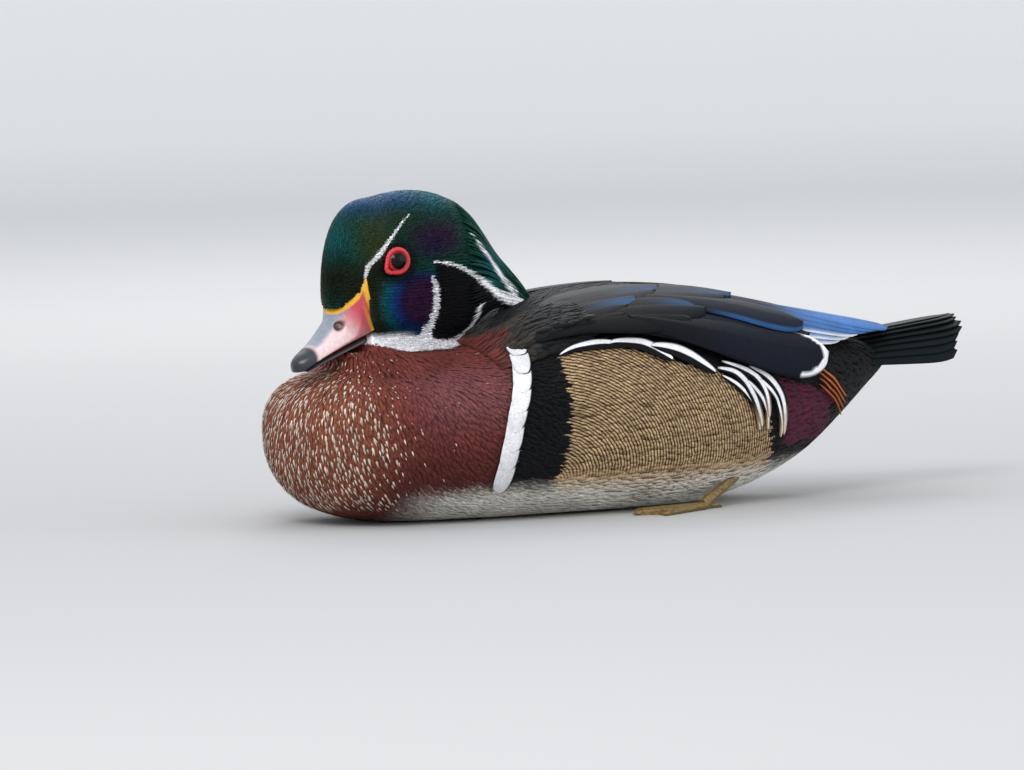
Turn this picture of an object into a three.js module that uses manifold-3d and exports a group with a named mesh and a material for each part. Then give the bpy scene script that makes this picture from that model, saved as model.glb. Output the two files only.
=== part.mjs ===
// A drake wood duck at rest on its belly, life size, in millimetres with +Z up.
// The bird faces -X, its left side is -Y, and the floor is Z = 0. Its head is turned a little to its left.
import * as THREE from "three";
import { mergeVertices } from "three/addons/utils/BufferGeometryUtils.js";
import Module from "manifold-3d";

const wasm = await Module();
wasm.setup();

// Driving dimensions
const GAP = 0.3; // between touching pieces
const FEATHER_FOOT = 0.9; // height of a wing's underside over the body
const FEATHER_CROWN = 0.7; // height of a feather's middle over its edges
const FLANK_FOOT = -2.5; // how deep the flank feathers are rooted in the body
const BODY_RINGS = 26;
const BODY_SIDES = 28;
const HEAD_RINGS = 22;
const HEAD_SIDES = 24;
const HEAD_AT = new THREE.Vector3(50, -1, 124); // the head's own origin, between the eyes
const HEAD_YAW = 15; // degrees, towards the bird's left
const EYE_RADIUS = 5.7;
const EYE_SIDES = 12;
const BILL_PITCH = 23; // degrees that the mouth line drops below level
const BILL_ROOT = new THREE.Vector3(10, 0, -32.3); // the corner of the mouth, on the midline
const PLUMAGE = {
  chestnut: 0x6b2f2a,
  black: 0x14161a,
  green: 0x1f4a3c,
  buff: 0xa88a62,
  bill: 0xd8c4c0,
  red: 0xc4242a,
  dark: 0x1a1c20,
  foot: 0x8c7a45,
};

// Body stations from breast to vent: x, half width, top, height of the widest line, bottom
const BODY = [
  [0, 0, 44, 44, 44],
  [2.5, 20, 58, 44, 28],
  [11, 40, 68, 44, 13],
  [28, 57, 74, 45, 3],
  [55, 67, 77, 46, -2],
  [90, 72, 83, 47, -4],
  [130, 75, 96, 48, -4],
  [170, 74, 100, 48, -4],
  [208, 67, 98, 48, -2],
  [240, 55, 92, 50, 5],
  [268, 43, 85, 54, 17],
  [290, 32, 79, 58, 33],
  [308, 22, 74, 62, 48],
  [320, 12, 70, 64, 57],
  [325, 0, 65, 65, 65],
];
const BODY_POWER = 2.25; // squareness of the body's section

// Head stations from the bill's root to the tip of the crest: x, half width, top, widest line, bottom, sideways bend
const HEAD = [
  [28, 0, -21.5, -21.5, -21.5, 0],
  [27, 4, -11, -21, -26, 0],
  [23.5, 10.8, 9.5, -17, -31, 0],
  [17, 15.6, 23, -12, -35.5, 0],
  [8.5, 18.3, 29.5, -11, -39.5, 0],
  [-2, 20.3, 31, -12, -43, 0],
  [-14, 22.3, 32.5, -13, -45, 0],
  [-27, 22.8, 32.5, -13, -45.5, 0.6],
  [-39, 21, 30, -13, -43.5, 2.6],
  [-50, 16.5, 23, -13, -38, 5.6],
  [-60, 10.8, 10, -14, -30, 9.4],
  [-69, 5.6, -6, -18, -26, 13.4],
  [-76, 0, -23, -23, -23, 16],
];
const HEAD_POWER = 2.35;

// The feathers end on the bill along this line, seen from the side: forehead point, upper corner, corner of the mouth
const BILL_EDGE = [
  [26.3, -22],
  [14.4, -7],
  [10.3, -32.5],
];

// Upper bill stations along the mouth line from its corner: distance, half width, culmen height, edge height
const UPPER_BILL = [
  [-9, 9.8, 22, 0.2],
  [-5, 10.3, 23.5, 0.2],
  [0, 10.5, 21, 0.2],
  [5, 10.3, 18.2, 0.2],
  [10.6, 9.8, 15.2, 0.2],
  [18, 8.9, 10.9, 0.3],
  [26, 8.1, 7.6, 0.4],
  [33, 7.4, 6, 0.3],
  [38, 6.3, 5.3, -0.5],
  [41.5, 4.3, 4.2, -1.2],
];
const LOWER_BILL = [
  [-4, 8.6, -0.2, -4.6],
  [4, 8.8, -0.2, -4.4],
  [14, 8, -0.2, -3.7],
  [24, 7.1, -0.1, -3],
  [32, 6.3, -0.1, -2.5],
  [38, 4.8, -0.9, -2.6],
];

const degrees = THREE.MathUtils.degToRad;
const clamp = THREE.MathUtils.clamp;
const mix = THREE.MathUtils.lerp;
const point = (x, y, z) => new THREE.Vector3(x, y, z);

// A row of a station table at position t, blended smoothly between its neighbours
function station(rows, t) {
  const i = clamp(Math.floor(t), 0, rows.length - 2);
  const f = t - i;
  const [a, b, c, d] = [-1, 0, 1, 2].map((k) => rows[clamp(i + k, 0, rows.length - 1)]);
  return b.map((_, n) => {
    const bend = 2 * a[n] - 5 * b[n] + 4 * c[n] - d[n];
    const twist = 3 * b[n] - a[n] - 3 * c[n] + d[n];
    return b[n] + 0.5 * f * (c[n] - a[n] + f * (bend + f * twist));
  });
}

// Sideways and upward offsets of a rounded section at an angle from its top
function section(angle, halfWidth, up, down, power) {
  const s = Math.sin(angle);
  const c = Math.cos(angle);
  const round = (v) => Math.sign(v) * Math.abs(v) ** (2 / power);
  return [halfWidth * round(s), (c > 0 ? up : down) * round(c)];
}

// A closed geometry through rings of points, with one point at each end
function skin(start, rings, end) {
  const sides = rings[0].length;
  const vertices = [start, ...rings.flat(), end];
  const last = vertices.length - 1;
  const at = (ring, side) => 1 + ring * sides + (side % sides);
  const faces = [];
  for (let side = 0; side < sides; side++) {
    faces.push(0, at(0, side + 1), at(0, side));
    faces.push(last, at(rings.length - 1, side), at(rings.length - 1, side + 1));
    for (let ring = 0; ring + 1 < rings.length; ring++) {
      faces.push(at(ring, side), at(ring, side + 1), at(ring + 1, side));
      faces.push(at(ring, side + 1), at(ring + 1, side + 1), at(ring + 1, side));
    }
  }
  const geometry = new THREE.BufferGeometry().setFromPoints(vertices);
  return geometry.setIndex(faces);
}

// A solid from a closed geometry, turned to face outwards
function solid(geometry) {
  const merged = mergeVertices(geometry.deleteAttribute("normal").deleteAttribute("uv"), 1e-4);
  const make = (triVerts) =>
    new wasm.Manifold(
      new wasm.Mesh({
        numProp: 3,
        vertProperties: new Float32Array(merged.attributes.position.array),
        triVerts,
      }),
    );
  const triVerts = new Uint32Array(merged.index.array);
  const made = make(triVerts);
  return made.volume() > 0 ? made : make(triVerts.reverse());
}

const join = (solids) => solids.reduce((whole, next) => whole.add(next));
const cut = (whole, rooms) => rooms.reduce((left, room) => left.subtract(room), whole);

// The largest closed body of a solid
function largest(made) {
  const bodies = made.decompose();
  return bodies.reduce((best, next) => (next.volume() > best.volume() ? next : best));
}

// Body surface. Position t counts stations, angle turns from the back (0) to the left side (-90) or the right (90).
function bodyPoint(t, angle, grow = 0) {
  const [x, halfWidth, top, wide, bottom] = station(BODY, t);
  const swell = grow * Math.min(1, halfWidth / 8);
  const [y, z] = section(angle, halfWidth + swell, top - wide + swell, wide - bottom + swell, BODY_POWER);
  const floor = grow > 0 ? -1 : 0;
  return point(x, y, Math.max(floor, wide + z));
}

function bodySolid(grow = 0) {
  const rings = [];
  for (let i = 1; i < BODY_RINGS; i++) {
    const t = ((BODY.length - 1) * i) / BODY_RINGS;
    rings.push(
      Array.from({ length: BODY_SIDES }, (_, k) => bodyPoint(t, (2 * Math.PI * k) / BODY_SIDES, grow)),
    );
  }
  const end = BODY.length - 1;
  const [front, back] = [bodyPoint(0, 0), bodyPoint(end, 0)];
  front.x -= grow;
  back.x += grow;
  return solid(skin(front, rings, back));
}

// Station position of a distance from the breast
function bodyPosition(x) {
  let low = 0;
  let high = BODY.length - 1;
  for (let i = 0; i < 30; i++) {
    const middle = (low + high) / 2;
    if (station(BODY, middle)[0] < x) low = middle;
    else high = middle;
  }
  return low;
}

// A point at a height over the body's surface. The angle is in degrees.
function overBody(x, angle, lift) {
  const t = bodyPosition(x);
  const a = degrees(angle);
  const here = bodyPoint(t, a);
  const along = bodyPoint(t + 0.05, a).sub(bodyPoint(t - 0.05, a));
  const round = bodyPoint(t, a + 0.05).sub(bodyPoint(t, a - 0.05));
  return here.addScaledVector(along.cross(round).normalize(), lift);
}

// Width of a feather, as a share of its widest, from root (0) to tip (1)
function featherShare(u, rootShare, tipStart) {
  if (u < tipStart) return mix(rootShare, 1, Math.sin((u / tipStart) * (Math.PI / 2)));
  return Math.sqrt(Math.max(0.02, 1 - ((u - tipStart) / (1 - tipStart)) ** 2.2));
}

// A feather lying along the body. from and to are [x, angle], foot is the height of its underside over the
// body's surface, lift that of its middle, and bow bends its line sideways in degrees.
function bodyFeather({ from, to, width, lift, foot = FEATHER_FOOT, bow = 0, steps = 5, rise = 0, grow = 0 }) {
  const place = (u, side, height) => {
    const x = mix(from[0], to[0], u);
    const angle = mix(from[1], to[1], u) + bow * Math.sin(Math.PI * u);
    const radius = Math.max(14, station(BODY, bodyPosition(x))[1]);
    const half = (width / 2) * featherShare(u, 0.55, 0.6) + grow;
    return overBody(x, angle + (side * half * 180) / (Math.PI * radius), height);
  };
  const top = (u) => lift + rise * u + grow;
  const rings = [];
  for (let i = 0; i <= steps; i++) {
    const u = (0.985 * i) / steps;
    rings.push([
      place(u, -1, foot),
      place(u, 1, foot),
      place(u, 1, top(u) - FEATHER_CROWN),
      place(u, 0, top(u)),
      place(u, -1, top(u) - FEATHER_CROWN),
    ]);
  }
  const start = place(0, 0, (top(0) + foot) / 2);
  const end = place(1, 0, (top(1) + foot) / 2);
  return solid(skin(start, rings, end));
}

// A closed sheet over a grid of places. place(u, v, face) gives its upper side (1) and its lower side (0).
function slab(along, across, place) {
  const vertices = [];
  const faces = [];
  const at = (i, j, face) => (face * (along + 1) + i) * (across + 1) + j;
  for (const face of [0, 1]) {
    for (let i = 0; i <= along; i++) {
      for (let j = 0; j <= across; j++) vertices.push(place(i / along, j / across, face));
    }
  }
  const quad = (a, b, c, d) => faces.push(a, b, c, a, c, d);
  for (let i = 0; i < along; i++) {
    for (let j = 0; j < across; j++) {
      quad(at(i, j, 1), at(i + 1, j, 1), at(i + 1, j + 1, 1), at(i, j + 1, 1));
      faces.push(at(i, j, 0), at(i + 1, j + 1, 0), at(i + 1, j, 0));
      faces.push(at(i, j, 0), at(i, j + 1, 0), at(i + 1, j + 1, 0));
    }
    quad(at(i, 0, 0), at(i + 1, 0, 0), at(i + 1, 0, 1), at(i, 0, 1));
    quad(at(i + 1, across, 0), at(i, across, 0), at(i, across, 1), at(i + 1, across, 1));
  }
  for (let j = 0; j < across; j++) {
    quad(at(0, j + 1, 0), at(0, j, 0), at(0, j, 1), at(0, j + 1, 1));
    quad(at(along, j, 0), at(along, j + 1, 0), at(along, j + 1, 1), at(along, j, 1));
  }
  return new THREE.BufferGeometry().setFromPoints(vertices).setIndex(faces);
}

const mirrored = (feather) => ({
  ...feather,
  from: [feather.from[0], -feather.from[1]],
  to: [feather.to[0], -feather.to[1]],
  bow: -(feather.bow ?? 0),
});

// A row of feathers whose sizes run evenly from those of the first to those of the last
function tier(count, first, last, shared = {}) {
  return Array.from({ length: count }, (_, i) => {
    const f = count > 1 ? i / (count - 1) : 0;
    const between = (a, b) => (Array.isArray(a) ? a.map((v, n) => mix(v, b[n], f)) : mix(a, b, f));
    const sizes = Object.keys(first).map((name) => [name, between(first[name], last[name])]);
    return { ...Object.fromEntries(sizes), ...shared };
  });
}

// Flank feathers, fused to the torso: the long ones under the wing, then the narrow ones in front of the vent
const FLANK_FEATHERS = [
  ...tier(
    4,
    { from: [112, -60], to: [168, -57], width: 17, lift: 1.2, bow: 3 },
    { from: [184, -67], to: [236, -86], width: 16, lift: 1.6, bow: 6 },
    { steps: 4 },
  ),
  ...tier(
    4,
    { from: [204, -78], to: [240, -108], width: 9, lift: 1.2, bow: 8 },
    { from: [222, -76], to: [256, -104], width: 8, lift: 1.8, bow: 10 },
    { steps: 4 },
  ),
];

// The folded wing's own mass, from its shoulder to where the primaries cross: x, upper edge, lower edge, thickness
const WING_CORE = [
  [90, -26, -32, 0.6],
  [98, -24, -43, 1.8],
  [130, -15, -48, 3.2],
  [175, -8, -55, 3.8],
  [220, -9, -62, 3.6],
  [255, -12, -62, 2.8],
  [280, -15, -50, 2],
  [298, -20, -34, 1],
];

// Feathers of the folded left wing, from the lowest layer to the highest
const WING_FEATHERS = [
  ...tier(
    4,
    { from: [214, -46], to: [294, -50], width: 18, lift: 2.6, rise: 1.0 },
    { from: [220, -18], to: [316, -30], width: 18, lift: 4.4, rise: 4.2 },
    { steps: 4 },
  ),
  ...tier(
    5,
    { from: [150, -52], to: [266, -76], width: 25, lift: 4.2, rise: -0.4, bow: -2 },
    { from: [168, -15], to: [286, -17], width: 28, lift: 6, rise: 0.6, bow: 2 },
    { steps: 5 },
  ),
  ...tier(
    4,
    { from: [94, -38], to: [186, -48], width: 26, lift: 4.6, rise: 0.8 },
    { from: [124, -20], to: [228, -15], width: 27, lift: 5.6, rise: 1.4 },
    { steps: 5 },
  ),
];

const torsoCore = bodySolid();
const torsoRoom = bodySolid(GAP);
const flank = (side, grow = 0) =>
  FLANK_FEATHERS.map((feather) =>
    bodyFeather({ ...(side < 0 ? feather : mirrored(feather)), grow, foot: FLANK_FOOT }),
  );

function wingCore(side) {
  const place = (u, v, face) => {
    const [x, upper, lower, thick] = station(WING_CORE, u * (WING_CORE.length - 1));
    const swell = Math.sin(Math.PI * mix(0.12, 0.88, v)) ** 0.5;
    return overBody(x, -side * mix(upper, lower, v), FEATHER_FOOT + (face ? thick * swell : 0));
  };
  return solid(slab(14, 5, place));
}

// Everything beyond the bird's middle, seen from one side
function otherSide(side) {
  const half = new THREE.BoxGeometry(500, 100, 200);
  return solid(half.translate(200, -side * (50 - GAP / 2), 100));
}

function wingSolid(side) {
  const feathers = WING_FEATHERS.map((feather) =>
    bodyFeather(side < 0 ? feather : mirrored(feather)),
  );
  return cut(join([wingCore(side), ...feathers]), [torsoRoom, tailSolid(GAP), otherSide(side), ...flank(side, GAP)]);
}

// Tail: a roof of overlapping feathers, the middle pair on top
const TAIL = { count: 11, root: 272, tip: 364, width: 15, spread: 25, rootSpread: 9, thick: 1.1 };

function tailFeather(i, grow = 0) {
  const side = (i / (TAIL.count - 1)) * 2 - 1;
  const out = Math.abs(side);
  const tipX = TAIL.tip - 12 * out ** 2;
  const height = (u) => mix(67, 80, u ** 0.8) - mix(4, 15, u) * out ** 1.7;
  const lean = degrees(42 * side);
  const rings = [];
  for (let k = 0; k <= 6; k++) {
    const u = k / 6.1;
    const x = mix(TAIL.root, tipX, u);
    const y = side * mix(TAIL.rootSpread, TAIL.spread, u);
    const half = (TAIL.width / 2) * featherShare(u, 0.6, 0.7) + grow;
    const thick = mix(TAIL.thick, TAIL.thick * 0.6, u) / 2 + grow;
    const z = height(u);
    const edge = (s) => point(x, y + s * half * Math.cos(lean), z - s * half * Math.sin(lean));
    const face = (s) => point(x, y + s * thick * Math.sin(lean), z + s * thick * Math.cos(lean) + 0.5);
    rings.push([edge(-1), face(1), edge(1), face(-1)]);
  }
  const middle = (u, x) => point(x, side * mix(TAIL.rootSpread, TAIL.spread, u), height(u) + 0.2);
  return solid(skin(middle(0, TAIL.root - grow), rings, middle(1, tipX + grow)));
}

function tailSolid(grow = 0) {
  const feathers = Array.from({ length: TAIL.count }, (_, i) => tailFeather(i, grow));
  return join(feathers);
}

// Head
const headMatrix = new THREE.Matrix4()
  .makeTranslation(HEAD_AT)
  .multiply(new THREE.Matrix4().makeRotationZ(degrees(180 + HEAD_YAW)));
const placed = (geometry) => geometry.applyMatrix4(headMatrix);

function headPoint(t, angle, grow = 0) {
  const [x, halfWidth, top, wide, bottom, bend] = station(HEAD, t);
  const swell = grow * Math.min(1, halfWidth / 5);
  const [y, z] = section(angle, halfWidth + swell, top - wide + swell, wide - bottom + swell, HEAD_POWER);
  return point(x, bend + y, wide + z);
}

function headShape(grow = 0) {
  const rings = [];
  for (let i = 1; i < HEAD_RINGS; i++) {
    const t = ((HEAD.length - 1) * i) / HEAD_RINGS;
    rings.push(
      Array.from({ length: HEAD_SIDES }, (_, k) => headPoint(t, (2 * Math.PI * k) / HEAD_SIDES, grow)),
    );
  }
  return solid(placed(skin(headPoint(0, 0), rings, headPoint(HEAD.length - 1, 0))));
}

// Everything ahead of the feather line on the bill, moved forward by a distance
function aheadOfFeathers(forward) {
  const [tip, corner, mouth] = BILL_EDGE.map(([x, z]) => [x + forward, z]);
  const outline = new THREE.Shape();
  outline.moveTo(tip[0] + 40, tip[1] - 2);
  outline.lineTo(...tip);
  outline.lineTo(...corner);
  outline.lineTo(...mouth);
  outline.lineTo(mouth[0] + 2, mouth[1] - 9);
  outline.lineTo(mouth[0] + 60, mouth[1] - 40);
  outline.closePath();
  const prism = new THREE.ExtrudeGeometry(outline, { depth: 60, bevelEnabled: false });
  prism.rotateX(Math.PI / 2).translate(0, 30, 0);
  return solid(placed(prism));
}

// A point of the bill: distance along the mouth line, sideways, and height over that line
function billPoint(along, sideways, height) {
  const pitch = degrees(BILL_PITCH);
  const x = BILL_ROOT.x + along * Math.cos(pitch) + height * Math.sin(pitch);
  const z = BILL_ROOT.z - along * Math.sin(pitch) + height * Math.cos(pitch);
  return point(x, sideways, z);
}

// A bill half as rings that are round above and flat below, or the other way about
function billHalf(rows, sides, tip, roundness, grow = 0) {
  const rings = [];
  const steps = (rows.length - 1) * 2;
  for (let i = 0; i <= steps; i++) {
    const [along, halfWidth, crown, edge] = station(rows, ((rows.length - 1) * i) / steps);
    const ring = [];
    for (let k = 0; k <= sides; k++) {
      const a = (Math.PI * k) / sides;
      const y = (halfWidth + grow) * Math.cos(a);
      const rise = Math.sin(a) ** roundness;
      ring.push(billPoint(along, y, mix(edge, crown, rise) + grow * Math.sign(crown - edge) * Math.sin(a)));
    }
    ring.push(billPoint(along, 0, edge - grow * Math.sign(crown - edge)));
    rings.push(ring);
  }
  const [along, , crown, edge] = rows[0];
  return solid(placed(skin(billPoint(along, 0, (crown + edge) / 2), rings, billPoint(...tip))));
}

const upperBill = (grow = 0) => billHalf(UPPER_BILL, 12, [43.4 + grow, 0, 0.6], 0.85, grow);
const lowerBill = (grow = 0) => billHalf(LOWER_BILL, 8, [40.2 + grow, 0, -1.8], 0.9, grow);

// An ellipsoid in the head's frame
function ellipsoid(centre, radii, turn = 0, sides = 16) {
  const ball = new THREE.SphereGeometry(1, sides, Math.round(sides * 0.7));
  ball.scale(...radii).rotateY(turn).translate(...centre);
  return solid(placed(ball));
}

// The left eye's middle, and the direction in which it looks
const EYE_AT = point(-1.5, 14.6, 0);
const EYE_LOOKS = point(Math.sin(degrees(14)), Math.cos(degrees(14)), 0.04).normalize();

function eyeSolid(side, grow = 0) {
  const ball = new THREE.SphereGeometry(EYE_RADIUS + grow, EYE_SIDES, 8);
  ball.rotateX(Math.PI / 2).translate(EYE_AT.x, side * EYE_AT.y, EYE_AT.z);
  return solid(placed(ball));
}

// The bare ring of lid round an eye, drawn out to a point at its lower front
function lidSolid(side, grow = 0) {
  const looks = point(EYE_LOOKS.x, side * EYE_LOOKS.y, EYE_LOOKS.z);
  const across = point(0, 0, 1).cross(looks).normalize();
  const up = looks.clone().cross(across);
  const middle = point(EYE_AT.x, side * EYE_AT.y, EYE_AT.z).addScaledVector(looks, 4.3);
  const turns = 18;
  const sections = 5;
  const rings = [];
  for (let i = 0; i < turns; i++) {
    const a = (2 * Math.PI * i) / turns;
    const front = Math.cos(a + side * degrees(-40) + (side < 0 ? Math.PI : 0));
    const reach = 5.6 + 1.3 * Math.max(0, front) ** 6;
    const out = across.clone().multiplyScalar(Math.cos(a)).addScaledVector(up, Math.sin(a));
    const ring = [];
    for (let k = 0; k < sections; k++) {
      const b = (2 * Math.PI * k) / sections;
      const deep = (1.5 + grow) * Math.sin(b);
      ring.push(middle.clone().addScaledVector(out, reach + (1.05 + grow) * Math.cos(b)).addScaledVector(looks, deep));
    }
    rings.push(ring);
  }
  const vertices = rings.flat();
  const faces = [];
  const at = (i, k) => (i % turns) * sections + (k % sections);
  for (let i = 0; i < turns; i++) {
    for (let k = 0; k < sections; k++) {
      faces.push(at(i, k), at(i + 1, k), at(i, k + 1));
      faces.push(at(i + 1, k), at(i + 1, k + 1), at(i, k + 1));
    }
  }
  return solid(placed(new THREE.BufferGeometry().setFromPoints(vertices).setIndex(faces)));
}

// A lock of the crest, lying back over the head's surface. from and to are [station, angle in degrees].
function crestLock({ from, to, width, lift, past = 0 }) {
  const steps = 4;
  const rings = [];
  const onHead = (t, angle, height) => {
    const a = degrees(angle);
    const here = headPoint(t, a);
    const along = headPoint(t + 0.05, a).sub(headPoint(t - 0.05, a));
    const round = headPoint(t, a + 0.05).sub(headPoint(t, a - 0.05));
    return here.addScaledVector(along.cross(round).normalize(), -height);
  };
  const place = (u, side, height) => {
    const t = mix(from[0], to[0], u);
    const angle = mix(from[1], to[1], u);
    const radius = Math.max(5, station(HEAD, t)[1]);
    const half = (width / 2) * featherShare(u, 0.5, 0.45);
    const reached = onHead(t, angle + (side * half * 180) / (Math.PI * radius), height);
    return reached.add(point(-past * u ** 3, 0, -0.35 * past * u ** 3));
  };
  for (let i = 0; i <= steps; i++) {
    const u = (i / steps) * 0.96;
    const raised = lift * Math.min(1, 0.1 + 1.8 * u);
    rings.push([
      place(u, -1, -1.2),
      place(u, 1, -1.2),
      place(u, 1, raised * 0.35),
      place(u, 0, raised),
      place(u, -1, raised * 0.35),
    ]);
  }
  return solid(placed(skin(place(0, 0, -0.5), rings, place(1, 0, lift * 0.2))));
}

// Crest locks on the left, from the lowest tier to the highest
const CREST_LOCKS = [
  ...tier(
    3,
    { from: [7, 98], to: [9.9, 112], width: 11, lift: 1.2, past: 2 },
    { from: [7.2, 60], to: [10.7, 64], width: 11, lift: 1.6, past: 5 },
  ),
  ...tier(
    3,
    { from: [6, 66], to: [9.4, 72], width: 12, lift: 1.9, past: 1 },
    { from: [6.4, 18], to: [11, 24], width: 12, lift: 2.2, past: 6 },
  ),
  ...tier(
    2,
    { from: [4.6, 44], to: [8.2, 50], width: 12, lift: 2 },
    { from: [5, 12], to: [9.6, 14], width: 12, lift: 2.4 },
  ),
];

function headSolid() {
  const locks = [1, -1].flatMap((side) =>
    CREST_LOCKS.map((lock) =>
      crestLock({ ...lock, from: [lock.from[0], side * lock.from[1]], to: [lock.to[0], side * lock.to[1]] }),
    ),
  );
  const whole = join([headShape(), ...locks]);
  const rooms = [aheadOfFeathers(0), lowerBill(GAP)];
  for (const side of [1, -1]) {
    rooms.push(eyeSolid(side, GAP), lidSolid(side, GAP));
  }
  return cut(whole, rooms);
}

function upperBillSolid() {
  const nostrils = [1, -1].map((side) => {
    const at = billPoint(14.5, side * 7.4, 9.3);
    return ellipsoid([at.x, at.y, at.z], [3, 1.5, 1.3], degrees(BILL_PITCH + 12), 10);
  });
  return cut(upperBill().intersect(aheadOfFeathers(GAP)), nostrils);
}

// Neck: a short thick column from the breast up into the head, its stations being x, y, z, half length and half width
const NECK = [
  [72, 0, 62, 46, 52],
  [70, 0, 71, 44, 43],
  [67, -0.5, 78, 40, 32],
  [62, -1, 84, 34, 21],
  [58, -1.5, 98, 24, 10],
];

function neckSolid(rooms) {
  const sides = 24;
  const steps = 8;
  const rings = [];
  for (let i = 0; i <= steps; i++) {
    const [x, y, z, long, wide] = station(NECK, ((NECK.length - 1) * i) / steps);
    rings.push(
      Array.from({ length: sides }, (_, k) => {
        const a = (2 * Math.PI * k) / sides;
        return point(x + long * Math.cos(a), y + wide * Math.sin(a), z - 0.12 * long * Math.cos(a));
      }),
    );
  }
  const [first, last] = [NECK[0], NECK[NECK.length - 1]];
  const column = solid(skin(point(...first.slice(0, 3)), rings, point(...last.slice(0, 3))));
  return cut(column, rooms);
}

// Foot: three front toes with a web, a hind toe and the shank, tucked beside the belly
const TOES = [
  { reach: 39, turn: 24 },
  { reach: 44, turn: 2 },
  { reach: 35, turn: -22 },
];
const ANKLE = [196, 57]; // x and distance from the midline, where the toes meet
const FOOT_TURN = 8; // degrees outwards

function toeEnd(toe, side, share = 1) {
  const a = degrees(toe.turn + FOOT_TURN);
  return [ANKLE[0] - toe.reach * share * Math.cos(a), side * (ANKLE[1] + toe.reach * share * Math.sin(a))];
}

function rod(from, to, wide, tall) {
  const sides = 6;
  const along = to.clone().sub(from);
  const across = point(-along.y, along.x, 0).normalize();
  const up = along.clone().normalize().cross(across).negate();
  const rings = [0, 0.3, 0.65, 0.92].map((u) =>
    Array.from({ length: sides }, (_, k) => {
      const a = (2 * Math.PI * k) / sides;
      const taper = 1 - 0.35 * u;
      const spot = from.clone().addScaledVector(along, u);
      spot.addScaledVector(across, wide * taper * Math.cos(a)).addScaledVector(up, tall * taper * Math.sin(a));
      spot.z = Math.max(0, spot.z);
      return spot;
    }),
  );
  const [start, end] = [from.clone(), to.clone()];
  start.z = Math.max(0.4, start.z);
  end.z = Math.max(0.4, end.z);
  return solid(skin(start, rings, end));
}

function footSolid(side) {
  const ankle = point(ANKLE[0], side * ANKLE[1], 2);
  const toes = TOES.map((toe) => rod(ankle, point(...toeEnd(toe, side), 1), 2.4, 1.9));
  const hind = rod(point(ankle.x, ankle.y - side * 1.5, 2), point(ankle.x + 12, ankle.y - side * 5, 1), 1.6, 1.5);
  const shank = rod(point(ankle.x - 1, ankle.y, 2.4), point(ankle.x + 26, side * 44, 15), 2.6, 3);
  const web = new THREE.Shape();
  web.moveTo(ANKLE[0], side * ANKLE[1]);
  web.lineTo(...toeEnd(TOES[0], side, 0.93));
  web.lineTo(...toeEnd({ reach: 33, turn: 13 }, side));
  web.lineTo(...toeEnd(TOES[1], side, 0.93));
  web.lineTo(...toeEnd({ reach: 31, turn: -10 }, side));
  web.lineTo(...toeEnd(TOES[2], side, 0.93));
  web.closePath();
  const sheet = new THREE.ExtrudeGeometry(web, { depth: 1.1, bevelEnabled: false });
  return join([...toes, hind, shank, solid(sheet.translate(0, 0, 0.1))]).subtract(torsoRoom);
}

// Assembly. What stands on the torso is cut clear of it.
const tail = tailSolid().subtract(torsoRoom);
const torso = join([torsoCore, ...flank(-1), ...flank(1)]);
const head = headSolid().subtract(torsoRoom);
const neck = neckSolid([torsoRoom, headShape(GAP), upperBill(GAP), lowerBill(GAP)]);

const nodes = [
  ["torso", torso, "chestnut"],
  ["neck", neck, "chestnut"],
  ["head", head, "green"],
  ["bill_upper", upperBillSolid(), "bill"],
  ["bill_lower", lowerBill().subtract(upperBill(GAP)), "dark"],
  ["eye_left", eyeSolid(1).subtract(lidSolid(1, GAP)), "red"],
  ["eye_right", eyeSolid(-1).subtract(lidSolid(-1, GAP)), "red"],
  ["eyelid_left", lidSolid(1), "red"],
  ["eyelid_right", lidSolid(-1), "red"],
  ["wing_left", wingSolid(-1), "black"],
  ["wing_right", wingSolid(1), "black"],
  ["tail", tail, "black"],
  ["foot_left", footSolid(-1), "foot"],
  ["foot_right", footSolid(1), "foot"],
];

const duck = new THREE.Group();
for (const [name, made, colour] of nodes) {
  const { numProp, vertProperties, triVerts } = largest(made).getMesh();
  const geometry = new THREE.BufferGeometry();
  const positions = new Float32Array((vertProperties.length / numProp) * 3);
  for (let i = 0; i < positions.length / 3; i++) {
    positions.set(vertProperties.subarray(i * numProp, i * numProp + 3), i * 3);
  }
  geometry.setAttribute("position", new THREE.BufferAttribute(positions, 3));
  geometry.setIndex(new THREE.BufferAttribute(triVerts, 1));
  geometry.computeVertexNormals();
  const material = new THREE.MeshStandardMaterial({ color: PLUMAGE[colour], roughness: 0.7, metalness: 0 });
  const mesh = new THREE.Mesh(geometry, material);
  mesh.name = name;
  duck.add(mesh);
}

// The origin is under the middle of the bird's box, on the floor
const box = new THREE.Box3().setFromObject(duck);
duck.position.set(-(box.min.x + box.max.x) / 2, -(box.min.y + box.max.y) / 2, -box.min.z);

export default duck;
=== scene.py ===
# A drake wood duck at rest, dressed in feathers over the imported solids.
# Sizes are millimetres in the duck's own frame: x runs from the breast to the tail, -y is its left and
# z = 0 the floor.
import math
from itertools import product

import bpy
import numpy as np
from mathutils import Matrix, Vector
from mathutils.bvhtree import BVHTree


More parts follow.
